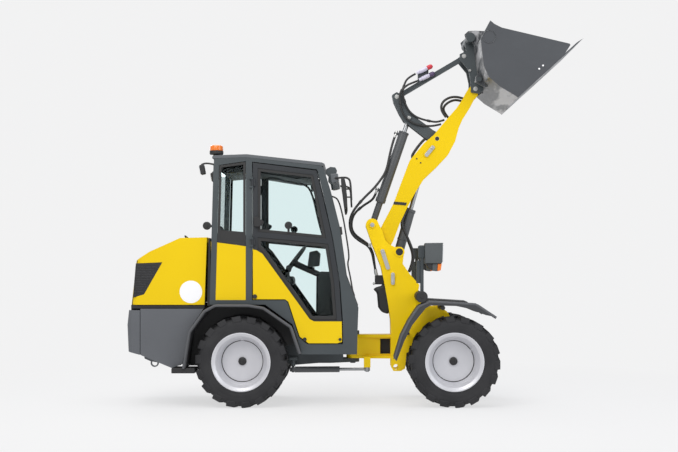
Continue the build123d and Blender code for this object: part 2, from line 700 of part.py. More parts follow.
# Tilt cylinder
with BuildPart() as tilt_barrel:
    bar(tilt_base, 42, -34, 34)
    rod(towards(tilt_base, lever_rod, 0), towards(tilt_base, lever_rod, 240), 30)
    rod(towards(tilt_base, lever_rod, 225), towards(tilt_base, lever_rod, tilt_barrel_end),
        tilt_barrel_radius)
    rod(towards(tilt_base, lever_rod, 260), towards(tilt_base, lever_rod, tilt_barrel_end + 1),
        tilt_rod_radius + 1, mode=Mode.SUBTRACT)
    bar(tilt_base, pin_radius + running_clearance, -34, 34, mode=Mode.SUBTRACT)
finish(tilt_barrel.part, "tilt_barrel")

with BuildPart() as tilt_rod:
    rod(towards(tilt_base, lever_rod, 560), lever_rod[:1] + (0,) + lever_rod[1:], tilt_rod_radius)
    bar(lever_rod, eye_radius, -28, 28)
    bar(lever_rod, 18, -lever_inner_y + face_gap, lever_inner_y - face_gap)
finish(tilt_rod.part, "tilt_rod")

# Lift cylinder
with BuildPart() as lift_barrel:
    bar(lift_base, eye_radius + 4, -36, 36)
    rod(towards(lift_base, lift_eye, 30), towards(lift_base, lift_eye, lift_barrel_end),
        lift_barrel_radius)
    rod(towards(lift_base, lift_eye, 50), towards(lift_base, lift_eye, lift_barrel_end + 1),
        lift_rod_radius + 1, mode=Mode.SUBTRACT)
    bar(lift_base, pin_radius, -frame_plate_inner_y + face_gap, frame_plate_inner_y - face_gap)
finish(lift_barrel.part, "lift_barrel")

lift_length = hypot(lift_eye[0] - lift_base[0], lift_eye[1] - lift_base[1])
with BuildPart() as lift_rod:
    rod(towards(lift_base, lift_eye, 490), towards(lift_base, lift_eye, lift_length),
        lift_rod_radius)
    bar(lift_eye, eye_radius - 4, -24, 24)
    bar(lift_eye, 18, -boom_inner_y + face_gap, boom_inner_y - face_gap)
finish(lift_rod.part, "lift_rod")

# Steering cylinder
steer_start = (steer_base[0], steer_base[1], steer_z)
steer_end = (steer_lug[0], steer_lug[1], steer_z)
steer_run = Vector(*steer_end) - Vector(*steer_start)


def along_steer(distance):
    return tuple(Vector(*steer_start) + steer_run.normalized() * distance)


with BuildPart() as steer_barrel:
    upright(steer_base, 30, (steer_z - steer_eye_half, steer_z + steer_eye_half))
    rod(along_steer(15), along_steer(steer_barrel_end), steer_barrel_radius)
    rod(along_steer(50), along_steer(steer_barrel_end + 1), steer_rod_radius + 1, mode=Mode.SUBTRACT)
    upright(steer_base, steer_pin_radius + running_clearance,
            (steer_z - steer_barrel_radius, steer_z + steer_barrel_radius), mode=Mode.SUBTRACT)
finish(steer_barrel.part, "steer_barrel")

with BuildPart() as steer_rod:
    rod(along_steer(steer_run.length - steer_rod_length), along_steer(steer_run.length - 15),
        steer_rod_radius)
    upright(steer_lug, 26, (steer_z - steer_eye_half, steer_z + steer_eye_half))
    upright(steer_lug, steer_pin_radius + 4, (steer_z - steer_eye_half - 8, steer_z + steer_eye_half))
finish(steer_rod.part, "steer_rod")

# Quick hitch: two plates with the hook tube, the lock bar and the pivot bores
with BuildPart() as quick_hitch:
    hitch_outline = [(1085, 2850), (1160, 2838), (1200, 2870), (1182, 2925), (1143, 3010),
                     (1118, 3200), (1108, 3345), (1069, 3372), (1027, 3330), (1040, 3230),
                     (982, 3200), (985, 3150), (1060, 3060), (1082, 2960)]
    pair(hitch_outline, hitch_inner_y, hitch_inner_y + hitch_wall)
    bar(hook_tube, hook_tube_radius, -230, 230)
    bar_pair(lock_pin, 22, hitch_inner_y, 230)
    bar(bucket_pivot, pin_radius + running_clearance, -hitch_inner_y - hitch_wall,
        hitch_inner_y + hitch_wall, mode=Mode.SUBTRACT)
finish(quick_hitch.part, "quick_hitch")

# Bucket: curved trough between two side plates, with the hooks at the back
bucket_back = [(1208, 3412), (1124, 3250), (1150, 3020), (1195, 2916), (1284, 2838), (1440, 2745)]
lip_tip = (2028, 3257)
heel = (1452, 2733)
floor_slope = atan2(lip_tip[1] - heel[1], lip_tip[0] - heel[0])
floor_normal = (-sin(floor_slope), cos(floor_slope))


def inset(points, wall):
    """Points of a back wall's inner face, moved towards the cavity."""
    middle = (1560, 3120)
    moved = []
    for x, z in points:
        reach = hypot(middle[0] - x, middle[1] - z)
        moved.append((x + wall * (middle[0] - x) / reach, z + wall * (middle[1] - z) / reach))
    return moved


with BuildPart() as bucket:
    floor_inner = (heel[0] + bucket_wall * floor_normal[0] + 12,
                   heel[1] + bucket_wall * floor_normal[1] + 12)
    trough = bucket_back + [heel, lip_tip] + [
        (lip_tip[0] - 60, lip_tip[1] - 40), floor_inner] + inset(bucket_back, bucket_wall + 2)[::-1]
    plate(trough, -bucket_half_width, bucket_half_width)
    side_outline = bucket_back + [heel, (1847, 3092), (1914, 3196), (1906, 3208), (1310, 3349),
                                  (1246, 3381)]
    pair(side_outline, bucket_half_width - bucket_wall, bucket_half_width)
    hook_outline = [(1126, 3252), (1162, 3320), (1200, 3392), (1100, 3396), (1050, 3392),
                    (1016, 3360), (1024, 3335), (hook_tube[0], hook_tube[1]), (1092, 3280)]
    lock_outline = [(1156, 3015), (1200, 2916), (1232, 2886), (1200, 2880), (1150, 2905),
                    (1112, 2930), (1116, 2975)]
    for outline, centre, radius in (
        (hook_outline, hook_tube, hook_tube_radius + 0.3),
        (lock_outline, lock_pin, 22.3),
    ):
        pair(outline, 180, 200)
        bar_pair(centre, radius, 180, 200, mode=Mode.SUBTRACT)
finish(bucket.part, "bucket")

# Mirrors, work lamps and beacon on the cab
with BuildPart() as cab_fittings:
    block_pair((-205, -126), (cab_half_width - 85, cab_half_width - 10), (1990, 2080))
    pair([(-245.8, 2079), (-239.9, 2060), (-200, 2060), (-200, 2079)], cab_half_width - 48, cab_half_width - 30)
    for side in (-1, 1):
        rod((-170, side * (cab_half_width - 18), 2030), (-60, side * (cab_half_width + 60), 2030), 8)
    block_pair((-70, -45), (cab_half_width + 10, cab_half_width + 110), (1780, 2040))
    block_pair((-1370, -1312), (cab_half_width - 120, cab_half_width - 40), (2060, 2150))
    block_pair((-1350, -1236), (cab_half_width - 90, cab_half_width - 70), (2150, 2166))
    with Locations((-1228, -300, 2288.2)):
        Cylinder(62, 105.6)
finish(cab_fittings.part, "cab_fittings")
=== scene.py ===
import bmesh
import bpy
from math import cos, hypot, pi, radians, sin
from mathutils import Matrix, Vector


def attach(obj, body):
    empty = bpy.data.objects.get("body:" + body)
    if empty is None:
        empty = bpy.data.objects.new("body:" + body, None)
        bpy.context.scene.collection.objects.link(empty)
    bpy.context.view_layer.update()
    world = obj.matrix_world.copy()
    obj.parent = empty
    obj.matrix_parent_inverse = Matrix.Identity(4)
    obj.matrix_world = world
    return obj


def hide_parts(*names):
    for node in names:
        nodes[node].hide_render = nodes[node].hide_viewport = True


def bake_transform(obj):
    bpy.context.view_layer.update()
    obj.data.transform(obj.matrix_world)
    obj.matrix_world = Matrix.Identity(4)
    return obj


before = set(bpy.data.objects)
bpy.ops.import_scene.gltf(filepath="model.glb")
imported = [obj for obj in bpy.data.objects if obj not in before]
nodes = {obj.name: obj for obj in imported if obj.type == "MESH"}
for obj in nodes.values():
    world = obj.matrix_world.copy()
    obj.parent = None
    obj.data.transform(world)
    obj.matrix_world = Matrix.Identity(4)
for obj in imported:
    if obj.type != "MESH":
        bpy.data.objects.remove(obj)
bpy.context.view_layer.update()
print("frame loaded:", len(nodes), "nodes")


# The camera stands where the photograph was taken from
viewpoint = {
    "place": (0.0, -10.54, 1.2),
    "lens": 60.34,
    "sensor": 36.0,
    "shiftX": -0.0204,
    "shiftY": 0.0678,
}


def makeCamera():
    data = bpy.data.cameras.new("camera")
    data.lens = viewpoint["lens"]
    data.sensor_width = viewpoint["sensor"]
    data.shift_x = viewpoint["shiftX"]
    data.shift_y = viewpoint["shiftY"]
    camera = bpy.data.objects.new("camera", data)
    camera.location = viewpoint["place"]
    camera.rotation_euler = (pi / 2, 0, 0)
    bpy.context.scene.collection.objects.link(camera)
    bpy.context.scene.camera = camera


# Shader maths: a Signal is what comes out of a node's socket
class Signal:
    def __init__(self, finish, socket):
        self.finish = finish
        self.socket = socket

    def maths(self, operation, first, second):
        return self.finish.node("ShaderNodeMath", {"operation": operation}, {0: first, 1: second})

    def __add__(self, other):
        return self.maths("ADD", self, other)

    def __radd__(self, other):
        return self.maths("ADD", other, self)

    def __sub__(self, other):
        return self.maths("SUBTRACT", self, other)

    def __rsub__(self, other):
        return self.maths("SUBTRACT", other, self)

    def __mul__(self, other):
        return self.maths("MULTIPLY", self, other)

    def __rmul__(self, other):
        return self.maths("MULTIPLY", other, self)

    def __gt__(self, other):
        return self.maths("GREATER_THAN", self, other)

    def __lt__(self, other):
        return self.maths("LESS_THAN", self, other)


class Finish:
    def __init__(self, name):
        self.material = bpy.data.materials.new(name)
        self.material.use_nodes = True
        self.tree = self.material.node_tree
        self.tree.nodes.clear()

    def node(self, kind, settings=None, inputs=None, output=0):
        made = self.tree.nodes.new(kind)
        for key, value in (settings or {}).items():
            if key == "stops":
                self.setStops(made.color_ramp, value)
            else:
                setattr(made, key, value)
        for key, value in (inputs or {}).items():
            if isinstance(value, Signal):
                self.tree.links.new(value.socket, made.inputs[key])
            else:
                made.inputs[key].default_value = value
        return Signal(self, made.outputs[output]) if made.outputs else None

    def setStops(self, ramp, stops):
        while len(ramp.elements) < len(stops):
            ramp.elements.new(0.5)
        for element, (place, value) in zip(ramp.elements, stops):
            element.position = place
            element.color = (value, value, value, 1)

    def coords(self):
        return self.node("ShaderNodeTexCoord", output="Object")

    def stretched(self, place, scale):
        return self.node("ShaderNodeMapping", {}, {"Vector": place, "Scale": scale})

    def noise(self, scale, detail=3.0, roughness=0.55, vector=None):
        return self.node("ShaderNodeTexNoise", {}, {
            "Vector": vector or self.coords(), "Scale": scale, "Detail": detail, "Roughness": roughness,
        })

    def cells(self, scale):
        return self.node("ShaderNodeTexVoronoi", {"feature": "F1"},
                         {"Vector": self.coords(), "Scale": scale})

    def ramp(self, signal, stops):
        return self.node("ShaderNodeValToRGB", {"stops": stops}, {"Fac": signal})

    def mix(self, share, low, high):
        return self.node("ShaderNodeMix", {"data_type": "RGBA"}, {0: share, 6: low, 7: high}, 2)

    def edges(self, radius):
        # bright where the surface turns within the radius, dark on open faces
        rounded = self.node("ShaderNodeBevel", {"samples": 6}, {"Radius": radius})
        flat = self.node("ShaderNodeNewGeometry", output="Normal")
        alike = self.node("ShaderNodeVectorMath", {"operation": "DOT_PRODUCT"},
                          {0: rounded, 1: flat}, "Value")
        return self.ramp(1 - alike, [(0.0, 0.0), (0.25, 1.0)])

    def bump(self, height, strength, distance, rounding=None):
        inputs = {"Height": height, "Strength": strength, "Distance": distance}
        if rounding:
            inputs["Normal"] = self.node("ShaderNodeBevel", {"samples": 6}, {"Radius": rounding})
        return self.node("ShaderNodeBump", {}, inputs)

    def surface(self, **inputs):
        named = {key.replace("_", " "): value for key, value in inputs.items()}
        shader = self.node("ShaderNodeBsdfPrincipled", {}, named)
        self.node("ShaderNodeOutputMaterial", {}, {"Surface": shader})
        return self.material


def opaque(colour):
    return (colour[0], colour[1], colour[2], 1)


paintLook = {
    "yellow": (0.78, 0.54, 0.002),
    "yellowDeep": (0.735, 0.49, 0.002),
    "rounding": 0.0022,
    "peel": 900.0,
}


# lift scales the whole yellow; a lift above 1 is painted light, a brighter copy of the yellow for parts
# that sit in shade
def yellowPaint(name="yellowPaint", lift=1.0):
    look = Finish(name)
    broad = look.noise(1.8, 2.0)
    peel = look.noise(paintLook["peel"], 2.0)
    colour = look.mix(look.ramp(broad, [(0.35, 0.0), (0.7, 0.5)]),
                      opaque([c * lift for c in paintLook["yellow"]]),
                      opaque([c * lift for c in paintLook["yellowDeep"]]))
    return look.surface(
        Base_Color=colour,
        Roughness=0.3 + broad * 0.12,
        Specular_IOR_Level=0.18,
        Coat_Weight=0.1,
        Coat_Roughness=0.12,
        Normal=look.bump(peel, 0.05, 0.0004, paintLook["rounding"]),
    )


def hoodPaint():
    look = Finish("hoodPaint")
    broad = look.noise(2.4, 2.0)
    grain = look.noise(1400.0, 2.0)
    colour = look.mix(look.ramp(broad, [(0.35, 0.0), (0.75, 0.4)]),
                      opaque(paintLook["yellow"]), opaque(paintLook["yellowDeep"]))
    return look.surface(
        Base_Color=colour,
        Roughness=0.33 + broad * 0.1,
        Specular_IOR_Level=0.18,
        Coat_Weight=0.08,
        Coat_Roughness=0.2,
        Normal=look.bump(grain, 0.06, 0.0003, 0.004),
    )


greyLook = {
    "panel": (0.096, 0.104, 0.112),
    # door: near black, partly the door frames' own dark paint and partly painted shade, standing in for
    # the shaded cab inside seen through the glass
    "door": (0.026, 0.029, 0.033),
    "frame": (0.053, 0.063, 0.068),
    "bucket": (0.048, 0.052, 0.058),
    "cylinder": (0.072, 0.076, 0.08),
    "casting": (0.104, 0.11, 0.121),
}


def greyPaint(name, colour, roughness=0.4, grain=700.0, depth=0.0006, rounding=0.0022):
    look = Finish(name)
    broad = look.noise(2.2, 3.0)
    fine = look.noise(grain, 3.0)
    light = [min(1.0, c * 1.16) for c in colour]
    rim = [min(1.0, c * 1.7) for c in colour]
    base = look.mix(look.ramp(broad, [(0.3, 0.0), (0.75, 0.8)]), opaque(colour), opaque(light))
    base = look.mix(look.edges(rounding) * 0.35, base, opaque(rim))
    return look.surface(
        Base_Color=base,
        Roughness=roughness + broad * 0.12,
        Specular_IOR_Level=0.35,
        Normal=look.bump(fine, 0.16, depth, rounding),
    )


def bucketPaint():
    look = Finish("bucketPaint")
    place = look.coords()
    streaks = look.noise(1.0, 5.0, 0.6, look.stretched(place, (3.0, 9.0, 40.0)))
    broad = look.noise(2.6, 4.0)
    fine = look.noise(620.0, 3.0)
    dark = opaque(greyLook["bucket"])
    light = opaque([c * 1.32 for c in greyLook["bucket"]])
    base = look.mix(look.ramp(broad, [(0.3, 0.0), (0.8, 0.7)]), dark, light)
    base = look.mix(look.ramp(streaks, [(0.55, 0.0), (0.8, 0.22)]), base, light)
    # light grey patches over the shell between the side plates: partly worn paint, partly painted sheen
    # of the glossy paint
    wearAndSheen = look.noise(1.0, 3.0, 0.55, look.stretched(place, (7.0, 1.2, 5.0)))
    width = look.node("ShaderNodeSeparateXYZ", {}, {"Vector": place}, 1)
    inside = (width < 0.536) * (width > -0.536)
    base = look.mix(look.ramp(wearAndSheen, [(0.47, 0.0), (0.56, 0.85)]) * inside, base, (0.46, 0.46, 0.475, 1))
    base = look.mix(look.edges(0.003) * 0.5, base, (0.32, 0.325, 0.33, 1))
    return look.surface(
        Base_Color=base,
        Roughness=0.3 + streaks * 0.2,
        Coat_Weight=0.15,
        Coat_Roughness=0.25,
        Normal=look.bump(fine + streaks * 0.5, 0.12, 0.0006, 0.003),
    )


def mouldedPlastic(name, colour, roughness=0.55, grain=900.0):
    look = Finish(name)
    broad = look.noise(3.0, 2.0)
    leather = look.cells(grain)
    base = look.mix(look.ramp(broad, [(0.3, 0.0), (0.8, 1.0)]), opaque(colour),
                    opaque([c * 1.35 for c in colour]))
    return look.surface(
        Base_Color=base,
        Roughness=roughness + broad * 0.12,
        Normal=look.bump(leather, 0.22, 0.0005, 0.002),
    )


def tyreRubber():
    look = Finish("tyreRubber")
    broad = look.noise(5.0, 4.0)
    fine = look.noise(420.0, 4.0)
    base = look.mix(look.ramp(broad, [(0.35, 0.0), (0.75, 1.0)]),
                    (0.021, 0.021, 0.023, 1), (0.036, 0.036, 0.038, 1))
    base = look.mix(look.edges(0.005) * 0.35, base, (0.075, 0.075, 0.08, 1))
    return look.surface(
        Base_Color=base,
        Roughness=0.62 + broad * 0.2,
        Specular_IOR_Level=0.3,
        Normal=look.bump(fine + broad, 0.25, 0.0012, 0.004),
    )


def softRubber():
    look = Finish("softRubber")
    fine = look.noise(800.0, 2.0)
    return look.surface(
        Base_Color=look.mix(fine, (0.012, 0.012, 0.0126, 1), (0.024, 0.024, 0.024, 1)),
        Roughness=0.55,
        Normal=look.bump(fine, 0.1, 0.0004),
    )


def rimPaint():
    look = Finish("rimPaint")
    broad = look.noise(6.0, 3.0)
    flake = look.noise(1800.0, 2.0)
    base = look.mix(look.ramp(broad, [(0.35, 0.0), (0.7, 0.6)]),
                    (0.6, 0.6, 0.63, 1), (0.68, 0.68, 0.71, 1))
    base = look.mix(look.edges(0.003) * 0.3, base, (0.8, 0.8, 0.82, 1))
    return look.surface(
        Base_Color=base,
        Metallic=0.35,
        Roughness=0.32 + broad * 0.12,
        Normal=look.bump(flake, 0.06, 0.0003, 0.002),
    )


def bareMetal(name, colour, roughness, scale=300.0):
    look = Finish(name)
    fine = look.noise(scale, 3.0)
    base = look.mix(fine, opaque([c * 0.85 for c in colour]), opaque(colour))
    return look.surface(
        Base_Color=base,
        Metallic=0.9,
        Roughness=roughness + fine * 0.12,
        Normal=look.bump(fine, 0.05, 0.0003, 0.0012),
    )


def tintedGlass():
    look = Finish("tintedGlass")
    smear = look.noise(2.2, 4.0)
    material = look.surface(
        Base_Color=(0.89, 0.975, 0.975, 1),
        Roughness=smear * 0.01,
        Alpha=1.0,
        IOR=1.06,
        Transmission_Weight=1.0,
    )
    material.surface_render_method = "BLENDED"
    return material


def ventMesh():
    look = Finish("ventMesh")
    holes = look.cells(170.0)
    wire = look.ramp(holes, [(0.2, 0.0), (0.55, 1.0)])
    base = look.mix(wire, (0.006, 0.006, 0.007, 1), (0.045, 0.045, 0.05, 1))
    return look.surface(Base_Color=base, Roughness=0.6, Normal=look.bump(holes, 0.5, 0.002))


def softPaint(name, colour, roughness):
    look = Finish(name)
    broad = look.noise(6.0, 2.0)
    base = look.mix(broad, opaque([c * 0.97 for c in colour]), opaque(colour))
    return look.surface(Base_Color=base, Roughness=roughness + broad * 0.08)


def lampPlastic(name, colour):
    look = Finish(name)
    ribs = look.node("ShaderNodeTexWave", {"bands_direction": "Z"},
                     {"Vector": look.coords(), "Scale": 60.0})
    base = look.mix(ribs, opaque([c * 0.72 for c in colour]), opaque(colour))
    return look.surface(Base_Color=base, Roughness=0.12 + ribs * 0.08, Coat_Weight=0.6,
                        Normal=look.bump(ribs, 0.3, 0.001))


def seatVinyl():
    look = Finish("seatVinyl")
    grain = look.cells(420.0)
    broad = look.noise(7.0, 3.0)
    base = look.mix(broad, (0.012, 0.012, 0.013, 1), (0.024, 0.024, 0.026, 1))
    return look.surface(Base_Color=base, Roughness=0.5 + broad * 0.15,
                        Normal=look.bump(grain, 0.35, 0.0008))


def makeStudio():
    scene = bpy.context.scene
    scene.view_settings.view_transform = "Standard"
    backdrop = (0.888, 0.888, 0.892, 1)
    world = bpy.data.worlds.new("studio")
    scene.world = world
    world.use_nodes = True
    tree = world.node_tree
    tree.nodes.clear()
    output = tree.nodes.new("ShaderNodeOutputWorld")
    blend = tree.nodes.new("ShaderNodeMixShader")
    seen = tree.nodes.new("ShaderNodeBackground")
    seen.inputs["Color"].default_value = backdrop
    glow = tree.nodes.new("ShaderNodeBackground")
    glow.inputs["Color"].default_value = (0.93, 0.95, 1.0, 1)
    glow.inputs["Strength"].default_value = 0.55
    rays = tree.nodes.new("ShaderNodeLightPath")
    either = tree.nodes.new("ShaderNodeMath")
    either.operation = "MAXIMUM"
    tree.links.new(rays.outputs["Is Camera Ray"], either.inputs[0])
    tree.links.new(rays.outputs["Is Transmission Ray"], either.inputs[1])
    tree.links.new(either.outputs[0], blend.inputs[0])
    tree.links.new(glow.outputs[0], blend.inputs[1])
    tree.links.new(seen.outputs[0], blend.inputs[2])
    tree.links.new(blend.outputs[0], output.inputs["Surface"])
    lamps = (
        # name, place, aim, size, power, colour
        ("key", (-2.5, -5.5, 6.5), (0.2, 0.0, 1.2), 5.0, 345.0, (1.0, 0.98, 0.95)),
        ("fill", (5.5, -4.5, 3.5), (0.3, 0.0, 1.2), 4.5, 135.0, (0.95, 0.97, 1.0)),
        ("top", (0.0, 0.5, 7.5), (0.0, 0.0, 0.5), 6.0, 210.0, (1.0, 1.0, 1.0)),
        ("back", (-3.0, 6.0, 4.5), (0.0, 0.0, 1.2), 4.0, 130.0, (1.0, 1.0, 1.0)),
    )
    for name, place, aim, size, power, colour in lamps:
        data = bpy.data.lights.new(name, "AREA")
        data.size = size
        data.energy = power
        data.color = colour
        lamp = bpy.data.objects.new(name, data)
        lamp.location = place
        lamp.rotation_euler = (Vector(aim) - Vector(place)).to_track_quat("-Z", "Y").to_euler()
        scene.collection.objects.link(lamp)
    mesh = bpy.data.meshes.new("floor")
    bm = bmesh.new()
    bmesh.ops.create_grid(bm, x_segments=1, y_segments=1, size=60.0)
    bm.to_mesh(mesh)
    bm.free()
    floor = bpy.data.objects.new("floor", mesh)
    scene.collection.objects.link(floor)
    look = Finish("paleFloor")
    matt = look.node("ShaderNodeBsdfDiffuse", {}, {"Color": (0.8, 0.8, 0.81, 1)})
    lit = look.node("ShaderNodeEmission", {}, {"Color": backdrop, "Strength": 1.0})
    reach = look.node("ShaderNodeVectorMath", {"operation": "LENGTH"}, {0: look.coords()}, "Value")
    share = look.ramp(reach * 0.1, [(0.15, 0.7), (0.5, 1.0)])
    both = look.node("ShaderNodeMixShader", {}, {0: share, 1: matt, 2: lit})
    look.node("ShaderNodeOutputMaterial", {}, {"Surface": both})
    mesh.materials.append(look.material)


makeCamera()
makeStudio()
print("studio ready")

finishes = {
    "yellow": yellowPaint(),
    # the front plates and yoke get the yellow made 1.22 times brighter: painted light, lifting the shade
    # the boom casts on them
    "yellowPaintedLight": yellowPaint("yellowPaintedLight", 1.22),
    "hood": hoodPaint(),
    "panelGrey": greyPaint("panelGrey", greyLook["panel"]),
    "frameGrey": greyPaint("frameGrey", greyLook["frame"]),
    # door frames: near black, partly their own dark paint and partly painted shade
    "doorDarkAndPaintedShade": greyPaint("doorDarkAndPaintedShade", greyLook["door"]),
    "castGrey": greyPaint("castGrey", greyLook["casting"], 0.45, 260.0, 0.0012),
    "cylinderGrey": greyPaint("cylinderGrey", greyLook["cylinder"], 0.34),
    "axleBlack": greyPaint("axleBlack", (0.02, 0.02, 0.021), 0.5, 300.0, 0.001),
    "bucket": bucketPaint(),
    "blackPlastic": mouldedPlastic("blackPlastic", (0.014, 0.014, 0.015)),
    "fenderBlack": mouldedPlastic("fenderBlack", (0.03, 0.031, 0.034), 0.5, 600.0),
    "tyre": tyreRubber(),
    "rubber": softRubber(),
    "rim": rimPaint(),
    "chrome": bareMetal("chrome", (0.36, 0.37, 0.38), 0.22),
    "zinc": bareMetal("zinc", (0.62, 0.62, 0.6), 0.3),
    "glass": tintedGlass(),
    "fenderGrey": mouldedPlastic("fenderGrey", (0.07, 0.072, 0.078), 0.45, 600.0),
    "lampGrey": mouldedPlastic("lampGrey", (0.062, 0.07, 0.073), 0.5, 600.0),
    "mesh": ventMesh(),
    "white": softPaint("white", (0.9, 0.9, 0.91), 0.35),
    "amber": lampPlastic("amber", (0.95, 0.22, 0.01)),
    "lens": lampPlastic("lens", (0.78, 0.8, 0.82)),
    "mirror": bareMetal("mirror", (0.8, 0.82, 0.84), 0.04),
    "seatCover": seatVinyl(),
    "lilac": softPaint("lilac", (0.55, 0.53, 0.64), 0.4),
    "capRed": softPaint("capRed", (0.55, 0.03, 0.05), 0.4),
    "capViolet": softPaint("capViolet", (0.08, 0.05, 0.12), 0.4),
}
print("finishes ready:", len(finishes))

# Shape helpers: outlines are (x, z) points, and y runs from the near side to the far side
sharpAngle = radians(32)
hands = (("right", -1), ("left", 1))
plainSlot = "black_plastic"


def slab(bm, outline, yLow, yHigh):
    face = bm.faces.new([bm.verts.new((x, yLow, z)) for x, z in outline])
    grown = bmesh.ops.extrude_face_region(bm, geom=[face])
    moved = [item for item in grown["geom"] if isinstance(item, bmesh.types.BMVert)]
    bmesh.ops.translate(bm, vec=(0, yHigh - yLow, 0), verts=moved)


def depths(side, near, far):
    # y of both faces on one side of the machine, the lower first
    return sorted((side * near, side * far))


def onCentre(point):
    return Vector((point[0], 0, point[1]))


def box(bm, x, y, z):
    slab(bm, [(x[0], z[0]), (x[1], z[0]), (x[1], z[1]), (x[0], z[1])], y[0], y[1])


def sideFrame(bm, outline, width, yLow, yHigh):
    # an even frame along the inside of an outline
    face = bm.faces.new([bm.verts.new((x, yLow, z)) for x, z in outline])
    bm.normal_update()
    rim = bmesh.ops.inset_region(bm, faces=[face], thickness=width, use_even_offset=True,
                                  use_boundary=True)["faces"]
    bmesh.ops.delete(bm, geom=[face], context="FACES")
    grown = bmesh.ops.extrude_face_region(bm, geom=rim)
    moved = [item for item in grown["geom"] if isinstance(item, bmesh.types.BMVert)]
    bmesh.ops.translate(bm, vec=(0, yHigh - yLow, 0), verts=moved)


def turned(bm, start, end, radius, endRadius=None, segments=28):
    # a round bar between two points, or a cone with another radius at its end
    first, last = Vector(start), Vector(end)
    run = last - first
    place = Matrix.Translation((first + last) / 2) @ run.to_track_quat("Z", "Y").to_matrix().to_4x4()
    bmesh.ops.create_cone(bm, cap_ends=True, segments=segments, radius1=radius,
                          radius2=radius if endRadius is None else endRadius,
                          depth=run.length, matrix=place)


def cross(bm, centre, radius, yLow, yHigh, endRadius=None, segments=28):
    # a round bar along y at an (x, z) centre
    turned(bm, (centre[0], yLow, centre[1]), (centre[0], yHigh, centre[1]), radius, endRadius, segments)


def lathe(bm, profile, centre, axis=(0, 1, 0), steps=48):
    # profile points are (radius, distance along the axis), spun full circle
    along = Vector(axis).normalized()
    out = along.orthogonal().normalized()
    middle = Vector(centre)
    verts = [bm.verts.new(middle + out * radius + along * far) for radius, far in profile]
    edges = [bm.edges.new(pair) for pair in zip(verts, verts[1:])]
    bmesh.ops.spin(bm, geom=verts + edges, cent=middle, axis=along, dvec=(0, 0, 0),
                   angle=2 * pi, steps=steps, use_merge=True)


def finishPiece(bm, name, body, look, bevel=0.0, segments=2, slot=None, mirrorY=False, replaces=()):
    bmesh.ops.remove_doubles(bm, verts=bm.verts, dist=1e-6)
    if mirrorY:
        copied = bmesh.ops.duplicate(bm, geom=bm.verts[:] + bm.edges[:] + bm.faces[:])
        other = [item for item in copied["geom"] if isinstance(item, bmesh.types.BMVert)]
        bmesh.ops.scale(bm, vec=(1, -1, 1), verts=other)
    bmesh.ops.recalc_face_normals(bm, faces=bm.faces)
    mesh = bpy.data.meshes.new(name)
    bm.to_mesh(mesh)
    bm.free()
    mesh.shade_smooth()
    mesh.set_sharp_from_angle(angle=sharpAngle)
    piece = bpy.data.objects.new(name, mesh)
    bpy.context.scene.collection.objects.link(piece)
    if bevel:
        rounding = piece.modifiers.new("rounding", "BEVEL")
        rounding.width = bevel
        rounding.segments = segments
        rounding.limit_method = "ANGLE"
        rounding.angle_limit = sharpAngle
    mesh.materials.append(finishes[look])
    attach(piece, body)
    if replaces:
        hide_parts(*replaces)
    return piece


def slabPiece(name, body, look, outline, depth, *rest, **more):
    bm = bmesh.new()
    slab(bm, outline, *depth)
    finishPiece(bm, name, body, look, *rest, **more)


def lathePiece(name, body, look, profile, centre, axis, steps, *rest, **more):
    bm = bmesh.new()
    lathe(bm, profile, centre, axis, steps)
    finishPiece(bm, name, body, look, *rest, **more)


def pipe(name, points, radius, body, look, order=3):
    curve = bpy.data.curves.new(name, "CURVE")
    curve.dimensions = "3D"
    curve.bevel_depth = radius
    curve.bevel_resolution = 4
    curve.resolution_u = 8
    curve.use_fill_caps = True
    spline = curve.splines.new("NURBS")
    spline.points.add(len(points) - 1)
    for point, place in zip(spline.points, points):
        point.co = (place[0], place[1], place[2], 1)
    spline.order_u = order
    spline.use_endpoint_u = True
    piece = bpy.data.objects.new(name, curve)
    bpy.context.scene.collection.objects.link(piece)
    curve.materials.append(finishes[look])
    if body:
        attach(piece, body)
    return piece


# Wheels
wheel = {
    "radius": 0.404,
    "lugs": 18,
    "lugLength": 0.078,
    "lugSkew": 0.22,
    "rearX": -0.986,
    "frontX": 0.898,
    "middleY": 0.4075,
    "outerY": 0.54,
    "discInset": 0.15,
    "valveReach": 0.196,
}


